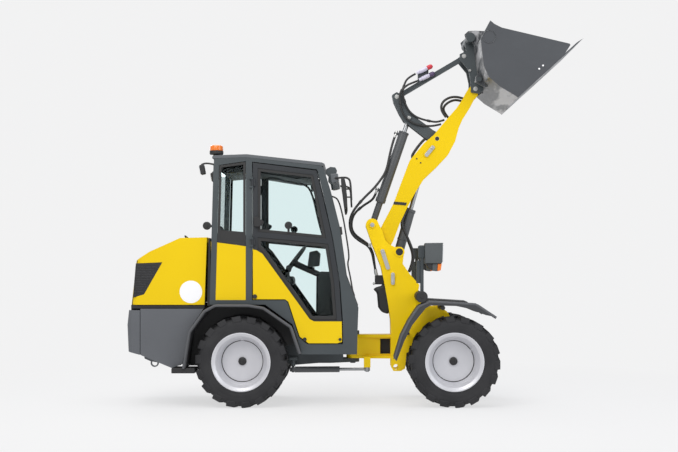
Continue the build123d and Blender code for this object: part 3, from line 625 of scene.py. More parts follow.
def makeTyre(place, x, side):
    centre = Vector((x, side * wheel["middleY"], wheel["radius"]))
    half = [
        # radius, distance from the tyre's middle plane
        (0.2368, 0.1105), (0.262, 0.1222), (0.266, 0.1262), (0.272, 0.1275), (0.276, 0.1262),
        (0.290, 0.1305), (0.3135, 0.1325), (0.3165, 0.1318), (0.319, 0.1325), (0.340, 0.1312),
        (0.358, 0.1265), (0.372, 0.117), (0.382, 0.100), (0.3855, 0.07), (0.3865, 0.03),
    ]
    bm = bmesh.new()
    profile = half + [(radius, -far) for radius, far in reversed(half)] + [half[0]]
    lathe(bm, profile, centre, steps=96)
    shear = Matrix(((1, wheel["lugSkew"], 0, 0), (0, 1, 0, 0), (0, 0, 1, 0), (0, 0, 0, 1)))
    for hand, phase in ((1, 0.0), (-1, 0.5)):
        for index in range(wheel["lugs"]):
            turn = (index + phase) * 2 * pi / wheel["lugs"]
            outline = [(0.012, 0.382), (0.012, 0.4035), (0.116, 0.4035), (0.1305, 0.372),
                       (0.1318, 0.352), (0.118, 0.350), (0.095, 0.376)]
            lead = wheel["lugLength"] / 2
            base = [bm.verts.new((-lead, hand * y, z)) for y, z in outline]
            grown = bmesh.ops.extrude_face_region(bm, geom=[bm.faces.new(base)])
            moved = [item for item in grown["geom"] if isinstance(item, bmesh.types.BMVert)]
            bmesh.ops.translate(bm, vec=(2 * lead, 0, 0), verts=moved)
            lug = base + moved
            slope = shear if hand > 0 else shear.inverted()
            bmesh.ops.transform(bm, matrix=slope, verts=lug)
            bmesh.ops.transform(bm, verts=lug,
                                matrix=Matrix.Translation(centre) @ Matrix.Rotation(turn, 4, "Y"))
    finishPiece(bm, "tread_" + place, "wheel_" + place, "tyre", 0.004, replaces=("tyre_" + place,))


def makeRimDetails(place, x, side):
    discFace = side * wheel["outerY"] - side * wheel["discInset"]
    lathePiece("disc_seam_" + place, "wheel_" + place, "rubber", [(0.180, 0), (0.1865, -0.012),
        (0.192, -0.012), (0.1865, 0.001), (0.180, 0)], (x, discFace, wheel["radius"]), (0, -side, 0),
        64)
    angle = radians(90) if "rear" in place else radians(33)
    valveX = x + wheel["valveReach"] * cos(angle)
    valveZ = wheel["radius"] + wheel["valveReach"] * sin(angle)
    bm = bmesh.new()
    turned(bm, (valveX, discFace, valveZ), (valveX, discFace + side * 0.03, valveZ), 0.009)
    turned(bm, (valveX, discFace + side * 0.028, valveZ), (valveX, discFace + side * 0.052, valveZ),
        0.0065)
    box(bm, (valveX - 0.017, valveX + 0.017),
        sorted((discFace - side * 0.004, discFace + side * 0.008)), (valveZ - 0.022, valveZ + 0.022))
    finishPiece(bm, "valve_" + place, "wheel_" + place, "rim", 0.0015)
    lathePiece("hub_cap_" + place, "wheel_" + place, "rubber", [(0.0, 0.004), (0.012, 0.004),
        (0.014, 0.0), (0.03, -0.002), (0.0358, -0.006), (0.0358, -0.02)],
        (x, discFace + side * 0.018, wheel["radius"]), (0, side, 0), 32)


places = []
for end in ("rear", "front"):
    for hand, side in hands:
        place = end + "_" + hand
        makeTyre(place, wheel[end + "X"], side)
        makeRimDetails(place, wheel[end + "X"], side)
        places.append(place)
print("wheels ready")

# Hood: mesh behind the side grilles, blank white disc, seals
hoodSide = 0.442
slabPiece("vent_mesh", "hood", "mesh", [(-1.925, 1.272), (-1.699, 1.2815), (-1.858, 1.004),
    (-1.951, 0.977)], (-hoodSide + 0.0065, -hoodSide + 0.011), mirrorY=True)
slabPiece("rear_mesh", "hood", "mesh", [(-1.962, 0.955), (-1.925, 1.265), (-1.918, 1.265),
    (-1.955, 0.955)], (-0.275, 0.275))
bm = bmesh.new()
cross(bm, (-1.439, 1.023), 0.1, -hoodSide - 0.0012, -hoodSide + 0.0005, segments=64)
finishPiece(bm, "side_disc", "hood", "white", 0.0004, slot="hood_yellow")
slabPiece("hood_seal", "rear_frame", "rubber", [(-1.296, 0.9), (-1.284, 1.498), (-1.2685, 1.498),
    (-1.2685, 0.9)], (-0.428, 0.428))
bm = bmesh.new()
for side in (1, -1):
    slab(bm, [(-1.972, 0.8735), (-1.972, 0.9065), (-1.318, 0.9065), (-1.318, 0.8735)],
        *depths(side, 0.40, 0.434))
slab(bm, [(-1.982, 0.8605), (-1.982, 0.9065), (-1.955, 0.9065), (-1.955, 0.8605)], -0.38, 0.38)
finishPiece(bm, "hood_gasket", "rear_frame", "blackPlastic", 0.003)
slabPiece("hood_latch", "hood", "blackPlastic", [(-1.545, 1.499), (-1.560, 1.535), (-1.552, 1.54),
    (-1.515, 1.508), (-1.50, 1.503)], (-0.03, 0.03), 0.003)
slabPiece("tow_bracket", "rear_frame", "castGrey", [(-1.855, 0.476), (-1.855, 0.43), (-1.80, 0.405),
    (-1.56, 0.365), (-1.53, 0.37), (-1.6, 0.42), (-1.7, 0.46)], (-0.43, -0.395), 0.004, mirrorY=True)
lathePiece("tow_loop", "rear_frame", "castGrey", [(0.024, -0.012), (0.036, -0.012), (0.036, 0.012),
    (0.024, 0.012), (0.024, -0.012)], (-1.765, -0.4125, 0.39), (0, 1, 0), 32, 0.004, mirrorY=True)
bm = bmesh.new()
box(bm, (-1.60, -1.394), (-0.53, -0.31), (0.306, 0.352))
finishPiece(bm, "tail_step", "rear_frame", "blackPlastic", 0.006, mirrorY=True)
print("tail ready")

# Fender lips
rearArch = [(-1.493, 0.354), (-1.442, 0.676), (-1.311, 0.858), (-1.216, 0.9097), (-0.916, 0.9097),
            (-0.785, 0.887), (-0.544, 0.720), (-0.465, 0.486)]
frontArch = [(0.363, 0.443), (0.422, 0.639), (0.488, 0.771), (0.576, 0.902), (0.675, 0.946),
             (1.082, 0.921), (1.258, 0.804)]
for hand, side in hands:
    pipe("rear_lip_" + hand, [(x, side * 0.537, z - 0.006) for x, z in rearArch], 0.012, "rear_frame",
        "fenderGrey", 2)
    pipe("front_lip_" + hand, [(x + 0.004, side * 0.537, z - 0.008) for x, z in frontArch], 0.012,
        "front_frame", "fenderGrey", 2)
lathePiece("tube_cap", "front_frame", "rubber", [(0.0, -0.014), (0.012, -0.014), (0.014, -0.008),
    (0.046, -0.008), (0.052, -0.002), (0.052, 0.012)], (0.607, -0.548, 0.981), (0, 1, 0), 40,
    mirrorY=True)
print("fenders ready")

# Cab: seals round the glass, dark bands, lining, knobs
upperGlass = [(-0.842, 1.556), (-0.236, 1.497), (-0.352, 2.06), (-0.842, 2.12)]
lowerGlass = [(-0.842, 1.508), (-0.218, 1.448), (-0.166, 1.11), (-0.142, 0.78), (-0.372, 0.78),
              (-0.8, 1.38), (-0.842, 1.42)]
quarterGlass = [(-1.2, 1.464), (-0.949, 1.43), (-0.949, 2.175), (-1.182, 2.143)]
for hand, side in hands:
    for name, body, outline, width, near, far in (
        ("upper_seal_", "door_" + hand, upperGlass, 0.026, 0.4515, 0.4765),
        ("lower_seal_", "door_" + hand, lowerGlass, 0.03, 0.4515, 0.4765),
        ("quarter_seal_", "rear_frame", quarterGlass, 0.022, 0.4725, 0.4805),
    ):
        bm = bmesh.new()
        sideFrame(bm, outline, width, *depths(side, near, far))
        finishPiece(bm, name + hand, body, "rubber", 0.002)
    slabPiece("quarter_band_" + hand, "rear_frame", "rubber", [(-1.198, 1.466), (-0.95, 1.432),
        (-0.95, 1.553), (-1.196, 1.574)], depths(side, 0.4722, 0.4765))
    bm = bmesh.new()
    lathe(bm, [(0.0, -0.03), (0.011, -0.03), (0.012, -0.024), (0.032, -0.024), (0.034, -0.016),
        (0.028, -0.006), (0.012, 0.0), (0.012, 0.02)], (-0.569, side * 0.481, 1.612), (0, -side, 0), 32)
    box(bm, (-0.579, -0.559), depths(side, 0.479, 0.487), (1.545, 1.60))
    finishPiece(bm, "window_knob_" + hand, "door_" + hand, "rubber")
    slabPiece("door_catch_" + hand, "door_" + hand, "blackPlastic", [(-0.875, 1.60), (-0.83, 1.595),
        (-0.79, 1.625), (-0.785, 1.65), (-0.815, 1.665), (-0.84, 1.69), (-0.875, 1.69)],
        depths(side, 0.479, 0.512), 0.008, 3)
    bm = bmesh.new()
    for x, z, radius in ((-0.868, 0.982, 0.022), (-0.426, 0.603, 0.018), (-0.113, 0.603, 0.014)):
        cross(bm, (x, z), radius, side * 0.483, side * 0.496, radius * 0.8)
    finishPiece(bm, "door_locks_" + hand, "door_" + hand, "rubber", 0.002)
    bm = bmesh.new()
    lathe(bm, [(0.0, -0.022), (0.012, -0.022), (0.014, -0.012), (0.026, -0.012), (0.036, -0.004),
        (0.036, 0.012), (0.012, 0.018), (0.012, 0.05)], (-1.292, side * 0.482, 1.609), (0, -side, 0),
        32)
    turned(bm, (-1.292, side * 0.44, 1.609), (-1.255, side * 0.44, 1.609), 0.011)
    finishPiece(bm, "door_stay_" + hand, "rear_frame", "rubber")
slabPiece("roof_lining", "rear_frame", "blackPlastic", [(-1.18, 2.135), (-0.94, 2.17), (-0.32, 2.085),
    (-0.335, 2.035), (-0.50, 2.03), (-0.93, 2.10), (-1.17, 2.075)], (-0.415, 0.415), 0.02, 3)
slabPiece("rear_sill_pad", "rear_frame", "blackPlastic", [(-1.226, 1.44), (-1.214, 1.58), (-1.2, 1.58),
    (-1.2, 1.44)], (-0.42, 0.42), 0.004)
pipe("grab_bar", [(-0.81, -0.38, 1.98), (-0.78, -0.38, 2.035), (-0.70, -0.38, 2.04),
    (-0.56, -0.38, 2.0), (-0.42, -0.38, 1.985), (-0.36, -0.38, 1.90), (-0.30, -0.38, 1.62),
    (-0.262, -0.38, 1.5)], 0.009, "rear_frame", "rubber")
bm = bmesh.new()
turned(bm, (-0.335, -0.38, 1.86), (-0.285, -0.38, 1.64), 0.017)
turned(bm, (-0.36, -0.38, 1.985), (-0.35, -0.38, 1.92), 0.02)
finishPiece(bm, "grab_grip", "rear_frame", "rubber", 0.005)
print("cab trim ready")

# Beacon, lamps and mirrors take the place of the plain cab fittings
beacon = {"foot": (-1.228, -0.30, 2.2355), "steps": 40}
lathePiece("beacon_base", "rear_frame", "rubber", [(0.0, 0.0), (0.03, 0.0), (0.03, 0.02),
    (0.058, 0.022), (0.062, 0.028), (0.062, 0.052), (0.056, 0.056), (0.0, 0.056)],
    beacon["foot"], (0, 0, 1), beacon["steps"], replaces=("cab_fittings",))
lathePiece("beacon_dome", "rear_frame", "amber", [(0.0, 0.0555), (0.058, 0.0555), (0.0605, 0.064),
    (0.0585, 0.074), (0.0595, 0.084), (0.056, 0.096), (0.046, 0.1035), (0.02, 0.1055), (0.0, 0.1055)],
    beacon["foot"], (0, 0, 1), beacon["steps"])
for hand, side in hands:
    pipe("rear_lamp_arm_" + hand, [(-1.236, side * 0.40, 2.158), (-1.29, side * 0.40, 2.172),
        (-1.34, side * 0.40, 2.165), (-1.352, side * 0.40, 2.155)], 0.008, "rear_frame", "rubber")
    slabPiece("rear_lamp_" + hand, "rear_frame", "blackPlastic", [(-1.368, 2.15), (-1.328, 2.158),
        (-1.312, 2.075), (-1.352, 2.065)], depths(side, 0.362, 0.438), 0.008, 3)
    slabPiece("rear_lens_" + hand, "rear_frame", "lens", [(-1.3675, 2.143), (-1.3735, 2.141),
        (-1.359, 2.073), (-1.353, 2.0745)], depths(side, 0.37, 0.43), 0.002)
    slabPiece("lamp_bracket_" + hand, "rear_frame", "frameGrey", [(-0.236, 2.115), (-0.238, 2.07),
        (-0.215, 2.045), (-0.205, 1.99), (-0.15, 1.99), (-0.13, 2.03), (-0.15, 2.06), (-0.14, 2.10),
        (-0.155, 2.13), (-0.20, 2.135)], depths(side, 0.425, 0.44), 0.004)
    slabPiece("front_lamp_" + hand, "rear_frame", "panelGrey", [(-0.20, 2.07), (-0.135, 2.075),
        (-0.125, 2.0), (-0.19, 1.985)], depths(side, 0.395, 0.47), 0.008, 3)
    slabPiece("front_lens_" + hand, "rear_frame", "lens", [(-0.134, 2.068), (-0.128, 2.068),
        (-0.119, 2.006), (-0.125, 2.006)], depths(side, 0.402, 0.463), 0.002)
    pipe("mirror_arm_" + hand, [(-0.16, side * 0.462, 2.03), (-0.10, side * 0.50, 2.035),
        (-0.045, side * 0.54, 2.03), (-0.022, side * 0.55, 2.0), (-0.016, side * 0.55, 1.9),
        (-0.012, side * 0.545, 1.83)], 0.009, "rear_frame", "rubber")
    slabPiece("mirror_" + hand, "rear_frame", "blackPlastic", [(-0.105, 2.02), (-0.075, 2.03),
        (-0.058, 1.96), (-0.05, 1.80), (-0.058, 1.76), (-0.075, 1.755), (-0.085, 1.83), (-0.10, 1.93)],
        depths(side, 0.492, 0.588), 0.01, 3)
    slabPiece("mirror_face_" + hand, "rear_frame", "mirror", [(-0.1045, 2.005), (-0.1065, 2.004),
        (-0.0875, 1.832), (-0.0785, 1.765), (-0.0765, 1.766), (-0.0855, 1.832)],
        depths(side, 0.50, 0.58))
    pipe("mirror_stay_" + hand, [(-0.02, side * 0.55, 1.93), (-0.05, side * 0.54, 1.93),
        (-0.075, side * 0.54, 1.93)], 0.007, "rear_frame", "rubber", 2)
pipe("pillar_tube", [(-0.20, -0.462, 1.872), (-0.165, -0.466, 1.868), (-0.124, -0.468, 1.834),
    (-0.085, -0.468, 1.68), (-0.065, -0.468, 1.562), (-0.029, -0.468, 1.33), (-0.05, -0.468, 1.277),
    (-0.02, -0.468, 1.15), (0.002, -0.468, 1.01)], 0.007, "rear_frame", "rubber")
bm = bmesh.new()
turned(bm, (-0.022, -0.466, 1.075), (0.008, -0.466, 0.985), 0.014)
turned(bm, (-0.112, -0.466, 1.60), (-0.104, -0.466, 1.53), 0.014)
finishPiece(bm, "pillar_clips", "rear_frame", "rubber", 0.004)
print("lamps and mirrors ready")

# Driver's place
slabPiece("console_body", "rear_frame", "blackPlastic", [(-0.34, 0.7005), (-0.126, 0.7005),
    (-0.126, 1.18), (-0.16, 1.20), (-0.30, 1.205), (-0.335, 1.15)], (-0.119, 0.119), 0.015, 3,
    replaces=("steering_console",))
bm = bmesh.new()
turned(bm, (-0.30, 0, 1.17), (-0.53, 0, 1.275), 0.026, 0.03)
slab(bm, [(-0.42, 1.24), (-0.31, 1.255), (-0.30, 1.37), (-0.33, 1.40), (-0.40, 1.385)], -0.07, 0.07)
finishPiece(bm, "column", "rear_frame", "blackPlastic", 0.01, 3)
steeringWheel = {"place": (-0.548, 0, 1.292), "axis": (-0.8, 0, 0.6), "radius": 0.17, "rim": 0.014}
bm = bmesh.new()
axis = Vector(steeringWheel["axis"]).normalized()
hub = Vector(steeringWheel["place"])
ring = [(steeringWheel["radius"] + steeringWheel["rim"] * cos(k * pi / 6),
         steeringWheel["rim"] * sin(k * pi / 6)) for k in range(13)]
lathe(bm, ring, hub, axis, 56)
lathe(bm, [(0.0, 0.02), (0.03, 0.018), (0.038, 0.0), (0.03, -0.03), (0.0, -0.03)], hub, axis, 28)
level = axis.orthogonal().normalized()
for index in range(3):
    spoke = Matrix.Rotation(index * 2 * pi / 3, 3, axis) @ level
    turned(bm, hub + spoke * 0.025, hub + spoke * 0.165, 0.011, 0.009, 16)
finishPiece(bm, "steering_wheel", "rear_frame", "rubber")
pipe("column_lever", [(-0.36, 0.02, 1.235), (-0.40, 0.06, 1.24), (-0.46, 0.14, 1.245)], 0.008,
    "rear_frame", "rubber", 2)
bm = bmesh.new()
turned(bm, (-0.60, -0.26, 1.09), (-0.585, -0.26, 1.20), 0.022, 0.015)
lathe(bm, [(0.0, -0.03), (0.018, -0.026), (0.026, 0.0), (0.022, 0.03), (0.0, 0.04)],
    (-0.58, -0.26, 1.225), (0, 0, 1), 24)
slab(bm, [(-0.90, 1.03), (-0.56, 1.03), (-0.545, 1.06), (-0.57, 1.095), (-0.90, 1.11)], -0.30, -0.24)
turned(bm, (-0.74, -0.27, 0.9405), (-0.74, -0.27, 1.04), 0.028)
finishPiece(bm, "joystick_rest", "rear_frame", "blackPlastic", 0.01, 3)


def makePad(name, x, y, z, tilt, pivot, replaced=()):
    # a crowned cushion, rounded off by subdivision
    bm = bmesh.new()
    box(bm, x, y, z)
    bmesh.ops.subdivide_edges(bm, edges=bm.edges[:], cuts=5, use_grid_fill=True)
    middle = Vector(((x[0] + x[1]) / 2, (y[0] + y[1]) / 2, (z[0] + z[1]) / 2))
    size = Vector((x[1] - x[0], y[1] - y[0], z[1] - z[0])) / 2
    for vert in bm.verts:
        off = vert.co - middle
        share = [min(1.0, abs(off[k]) / size[k]) for k in range(3)]
        for k in range(3):
            others = [share[j] for j in range(3) if j != k]
            off[k] *= 1.0 - 0.055 * (others[0] ** 2 + others[1] ** 2)
        vert.co = middle + off
    bmesh.ops.rotate(bm, verts=bm.verts, cent=pivot, matrix=Matrix.Rotation(tilt, 3, "Y"))
    piece = finishPiece(bm, name, "rear_frame", "seatCover", replaces=replaced)
    soft = piece.modifiers.new("soft", "SUBSURF")
    soft.levels = 2
    soft.render_levels = 2


makePad("seat_cushion", (-1.0, -0.53), (-0.225, 0.225), (1.045, 1.135), radians(-4), (-0.98, 0, 1.05),
    ("seat",))
makePad("seat_back", (-1.10, -1.02), (-0.215, 0.215), (1.12, 1.555), radians(-7), (-1.05, 0, 1.10))
slabPiece("seat_base", "rear_frame", "blackPlastic", [(-0.96, 0.9405), (-0.62, 0.9405), (-0.60, 1.0),
    (-0.56, 1.035), (-1.0, 1.045), (-1.0, 1.0)], (-0.185, 0.185), 0.012, 3)
print("driver's place ready")

# Dark liners at the inner edge of the rear fenders, rings about the axle between a radius and the arch
axle = (wheel["rearX"], 0.405)
archLine = [(-1.472, 0.36), (-1.425, 0.672), (-1.297, 0.845), (-1.213, 0.892), (-1.066, 0.892),
            (-0.919, 0.892), (-0.797, 0.872), (-0.565, 0.71), (-0.51, 0.56)]
for hand, side in hands:
    bm = bmesh.new()
    for radius, low, high in ((0.414, 0.264, 0.298), (0.33, 0.262, 0.268)):
        inner = []
        for x, z in reversed(archLine):
            share = radius / hypot(x - axle[0], z - axle[1])
            inner.append((axle[0] + (x - axle[0]) * share, axle[1] + (z - axle[1]) * share))
        slab(bm, archLine + inner, *depths(side, low, high))
    finishPiece(bm, "arch_liner_" + hand, "rear_frame", "blackPlastic", 0.002)
bm = bmesh.new()
box(bm, (0.215, 0.35), (-0.006, 0.006), (0.44, 0.60))
finishPiece(bm, "yoke_liner", "front_frame", "blackPlastic", 0.002)
print("liners ready")

# Head lamps on their posts
for hand, side in hands:
    bm = bmesh.new()
    box(bm, (0.6, 0.63), depths(side, 0.41, 0.44), (1.02, 1.33))
    box(bm, (0.58, 0.637), depths(side, 0.405, 0.445), (1.325, 1.43))
    box(bm, (0.565, 0.60), depths(side, 0.40, 0.43), (1.10, 1.30))
    finishPiece(bm, "lamp_post_" + hand, "front_frame", "frameGrey", 0.004, slot=plainSlot,
        replaces=("head_lamps",) if side < 0 else ())
    slabPiece("lamp_box_" + hand, "front_frame", "lampGrey", [(0.637, 1.275), (0.788, 1.275),
        (0.793, 1.44), (0.80, 1.458), (0.637, 1.456)], depths(side, 0.372, 0.518), 0.007, 3)
    slabPiece("lamp_lens_" + hand, "front_frame", "lens", [(0.789, 1.29), (0.797, 1.29), (0.800, 1.44),
        (0.793, 1.44)], depths(side, 0.385, 0.505), 0.003)
    slabPiece("side_lamp_" + hand, "front_frame", "rubber", [(0.648, 1.2745), (0.70, 1.2745),
        (0.70, 1.215), (0.665, 1.235)], depths(side, 0.388, 0.502), 0.004)
    slabPiece("marker_lamp_" + hand, "front_frame", "lampGrey", [(0.702, 1.2745), (0.748, 1.2745),
        (0.746, 1.206), (0.702, 1.212)], depths(side, 0.388, 0.502), 0.004)
    slabPiece("turn_lamp_" + hand, "front_frame", "amber", [(0.75, 1.2745), (0.786, 1.2745),
        (0.778, 1.215), (0.748, 1.206)], depths(side, 0.388, 0.502), 0.004)
print("head lamps ready")


# Keeper plates, bolts and pin ends of the working arm
frontFace, boomFace, hitchFace = 0.1335, 0.0802, 0.1045  # outer faces, from the centre plane
pivots = {
    "tiltBase": (0.178, 1.6315),
    "tiltRod": (0.519, 2.6245),
    "liftBase": (0.366, 1.172),
    "liftEye": (0.6795, 2.283),
    "linkEnd": (0.4066, 2.818),
    "hitchLink": (1.0216, 3.182),
    "bucketPin": (1.1267, 2.8817),
    "leverPin": (0.776, 2.427),
}


def keeper(name, body, start, end, width, face, bolts):
    bm = bmesh.new()
    first, last = onCentre(start), onCentre(end)
    along = (last - first).normalized() * (width / 2)
    across = Vector((-along.z, 0, along.x))
    corners = (first - along + across, last + along + across,
               last + along - across, first - along - across)
    slab(bm, [(corner.x, corner.z) for corner in corners], face - 0.006, face)
    uprights = [edge for edge in bm.edges if abs(edge.verts[0].co.y - edge.verts[1].co.y) > 0.003]
    bmesh.ops.bevel(bm, geom=uprights, offset=width * 0.42, segments=6, profile=0.5, affect="EDGES",
                    material=-1)
    for x, z in bolts:
        cross(bm, (x, z), 0.0125, face - 0.008, face - 0.006, segments=24)
        cross(bm, (x, z), 0.0095, face - 0.0155, face - 0.008, segments=6)
    finishPiece(bm, name, body, "zinc", 0.0008)


keeper("keeper_boom", "front_frame", (0.272, 1.39), (0.32, 1.24), 0.036, -frontFace, ((0.275, 1.382),))
keeper("keeper_lift", "front_frame", (0.366, 1.178), (0.366, 1.10), 0.034, -frontFace,
    ((0.366, 1.105), pivots["liftBase"]))
keeper("keeper_eye", "boom", (0.6795, 2.278), (0.735, 2.345), 0.036, -0.0865, ((0.728, 2.338),))
bm = bmesh.new()
cross(bm, pivots["tiltBase"], 0.02, -frontFace, -frontFace - 0.004)
cross(bm, pivots["tiltBase"], 0.0125, -frontFace - 0.004, -frontFace - 0.013, segments=6)
finishPiece(bm, "bolt_tilt_base", "front_frame", "zinc", 0.0008, mirrorY=True)
for name, body, centre, face, radius in (
    ("bolt_link", "lever", pivots["linkEnd"], 0.0505, 0.017),
    ("bolt_rod", "lever", pivots["tiltRod"], 0.0555, 0.015),
    ("bolt_hitch", "bucket", pivots["hitchLink"], hitchFace, 0.02),
    ("bolt_bucket", "hitch_pin", pivots["bucketPin"], hitchFace, 0.021),
):
    bm = bmesh.new()
    cross(bm, centre, radius, -face, -face - 0.003)
    cross(bm, centre, radius * 0.62, -face - 0.003, -face - 0.011, segments=6)
    finishPiece(bm, name, body, "zinc", 0.0008, mirrorY=True)
bm = bmesh.new()
for x, z, radius in ((1.2, 2.93, 0.015), (1.1267, 2.945, 0.01), (1.075, 3.05, 0.012)):
    cross(bm, (x, z), radius, -hitchFace, -0.113, segments=6)
finishPiece(bm, "hitch_bolts", "bucket", "zinc", 0.0008, mirrorY=True)
bm = bmesh.new()
cross(bm, (0.427, 1.384), 0.026, -0.099, -0.1275, segments=40)
cross(bm, (0.427, 1.384), 0.0335, -0.131, -frontFace, 0.031, segments=40)
finishPiece(bm, "boss_ring", "front_frame", "rubber", mirrorY=True)
bm = bmesh.new()
cross(bm, pivots["leverPin"], 0.0185, -boomFace, -0.0815, segments=32)
finishPiece(bm, "pivot_plug", "boom", "rubber", mirrorY=True)
bm = bmesh.new()
for x, z in ((0.588, 2.242), (0.624, 2.205)):
    cross(bm, (x, z), 0.0075, -boomFace, -0.0835, segments=6)
finishPiece(bm, "boom_studs", "boom", "rubber", mirrorY=True)
slabPiece("boom_strap", "boom", "rubber", [(0.371, 1.822), (0.379, 1.848), (0.497, 1.838),
    (0.489, 1.812)], (-0.0835, -boomFace), 0.001)
lathePiece("side_ring", "bucket", "bucket", [(0.056, -0.004), (0.06, -0.001), (0.06, 0.004),
    (0.052, 0.004), (0.056, -0.004)], (1.2, -0.5515, 3.268), (0, 1, 0), 48, mirrorY=True)
bm = bmesh.new()
for x, z in ((1.672, 3.015), (1.638, 2.986)):
    cross(bm, (x, z), 0.008, -0.5502, -0.5545, segments=20)
finishPiece(bm, "edge_bolts", "bucket", "white", 0.0008, slot="pin_steel", mirrorY=True)
print("arm fittings ready")

# Boot and valve block behind the front frame plates
slabPiece("hose_boot", "front_frame", "rubber", [(0.186, 1.04), (0.223, 1.008), (0.235, 0.873),
    (0.266, 0.829), (0.33, 0.811), (0.345, 0.90), (0.325, 1.0), (0.29, 1.10), (0.262, 1.071),
    (0.217, 1.058)], (-0.092, 0.092), 0.018, 3)
bm = bmesh.new()
box(bm, (0.205, 0.285), (-0.085, 0.085), (1.085, 1.17))
finishPiece(bm, "valve_block", "front_frame", "blackPlastic", 0.006)
bm = bmesh.new()
for y in (-0.06, -0.02, 0.02, 0.06):
    turned(bm, (0.225, y, 1.16), (0.21, y, 1.215), 0.012, 0.011, 12)
    turned(bm, (0.21, y, 1.10), (0.185, y, 1.09), 0.011, 0.011, 6)
finishPiece(bm, "valve_unions", "front_frame", "zinc", 0.001)

# Fittings on the cylinders, placed by their distance from the base pin
def cylinderLine(base, end):
    foot = onCentre(pivots[base])
    along = (onCentre(pivots[end]) - foot).normalized()
    back = Vector((-along.z, 0, along.x))
    return lambda far, off=0.0: foot + along * far + back * off


tilt = cylinderLine("tiltBase", "tiltRod")
bm = bmesh.new()
turned(bm, tilt(0.896), tilt(0.914), 0.0485)
turned(bm, tilt(0.235), tilt(0.268), 0.0475)
turned(bm, tilt(0.88, 0.04), tilt(0.88, 0.085), 0.014, 0.013, 6)
turned(bm, tilt(0.33, 0.03), tilt(0.33, 0.08), 0.014, 0.013, 6)
finishPiece(bm, "tilt_collars", "tilt_barrel", "cylinderGrey", 0.002)
bm = bmesh.new()
turned(bm, tilt(0.84, 0.068), tilt(0.905, 0.068), 0.013, 0.012, 12)
turned(bm, tilt(0.29, 0.064), tilt(0.35, 0.064), 0.013, 0.012, 12)
finishPiece(bm, "tilt_unions", "tilt_barrel", "zinc", 0.001)
lift = cylinderLine("liftBase", "liftEye")
bm = bmesh.new()
turned(bm, lift(0.604), lift(0.631), 0.0485)
turned(bm, lift(0.335), lift(0.352), 0.0475)
finishPiece(bm, "lift_collars", "lift_barrel", "cylinderGrey", 0.002)
print("cylinder fittings ready")


# Hoses: each is a smooth line from fitting to fitting, bent between the two bodies that it joins
def hose(name, bodies, points, farEnd, radius=0.0112):
    guide = pipe(name + "_guide", points, radius, None, "rubber")
    tube = bpy.data.meshes.new_from_object(guide)
    guide.data.bevel_depth = 0
    line = bpy.data.meshes.new_from_object(guide)
    path = [tuple(vertex.co) for vertex in line.vertices]
    bpy.data.objects.remove(guide)
    bpy.data.meshes.remove(line)
    tube.shade_smooth()
    piece = bpy.data.objects.new(name, tube)
    bpy.context.scene.collection.objects.link(piece)
    if not tube.materials:
        tube.materials.append(finishes["rubber"])
    if len(bodies) == 1:
        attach(piece, bodies[0])
    else:
        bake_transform(piece)
    if farEnd != "object":
        end, along = Vector(path[-1]), (Vector(path[-1]) - Vector(path[-2])).normalized()
        look, segments, half = {"sleeve": ("rubber", 20, 0.016), "union": ("zinc", 6, 0.024)}[farEnd]
        bm = bmesh.new()
        turned(bm, end - along * half, end + along * half, radius + 0.003, segments=segments)
        finishPiece(bm, name + "_" + farEnd, bodies[-1], look, 0.001, slot=plainSlot)


hose("tilt_hose_upper", ("tilt_barrel", "tilt_pin"), [(0.3865, 0.0, 2.448), (0.368, -0.012, 2.395),
    (0.338, -0.034, 2.27), (0.312, -0.052, 2.14), (0.262, -0.062, 2.055), (0.19, -0.068, 1.965),
    (0.12, -0.07, 1.90), (0.07, -0.07, 1.845)], "sleeve")
hose("tilt_hose_lower", ("tilt_pin", "front_frame"), [(0.07, -0.07, 1.845), (0.02, -0.07, 1.79),
    (-0.026, -0.072, 1.70), (-0.03, -0.074, 1.61), (0.0, -0.075, 1.535), (0.07, -0.075, 1.48),
    (0.145, -0.072, 1.44), (0.18, -0.066, 1.37), (0.192, -0.061, 1.30), (0.203, -0.06, 1.245),
    (0.212, -0.06, 1.2)], "union")
hose("return_hose_upper", ("tilt_barrel", "tilt_pin"), [(0.2117, 0.0, 1.9266), (0.195, 0.012, 1.886),
    (0.155, 0.034, 1.852), (0.105, 0.055, 1.825), (0.062, 0.064, 1.79)], "sleeve")
hose("return_hose_lower", ("tilt_pin", "front_frame"), [(0.062, 0.064, 1.79), (0.019, 0.073, 1.755),
    (-0.012, 0.076, 1.68), (-0.012, 0.078, 1.60), (0.022, 0.078, 1.545), (0.085, 0.077, 1.50),
    (0.15, 0.074, 1.455), (0.188, 0.068, 1.38), (0.198, 0.062, 1.305), (0.205, 0.06, 1.25),
    (0.212, 0.06, 1.2)], "union")
for side, y in (("right", -0.055), ("left", 0.055)):
    hose("lift_hose_" + side, ("lift_barrel", "front_frame"), [(0.512, y * 0.9, 1.79),
        (0.468, y * 1.25, 1.72), (0.45, y * 1.45, 1.64), (0.482, y * 1.5, 1.56), (0.53, y * 1.5, 1.46),
        (0.562, y * 1.5, 1.36), (0.552, y * 1.45, 1.27), (0.52, y * 1.4, 1.2)], "object")
armBodies = (("tilt_link", "link_pin"), ("link_pin", "lever"),
             ("lever", "lever_pin"), ("lever_pin", "boom"))
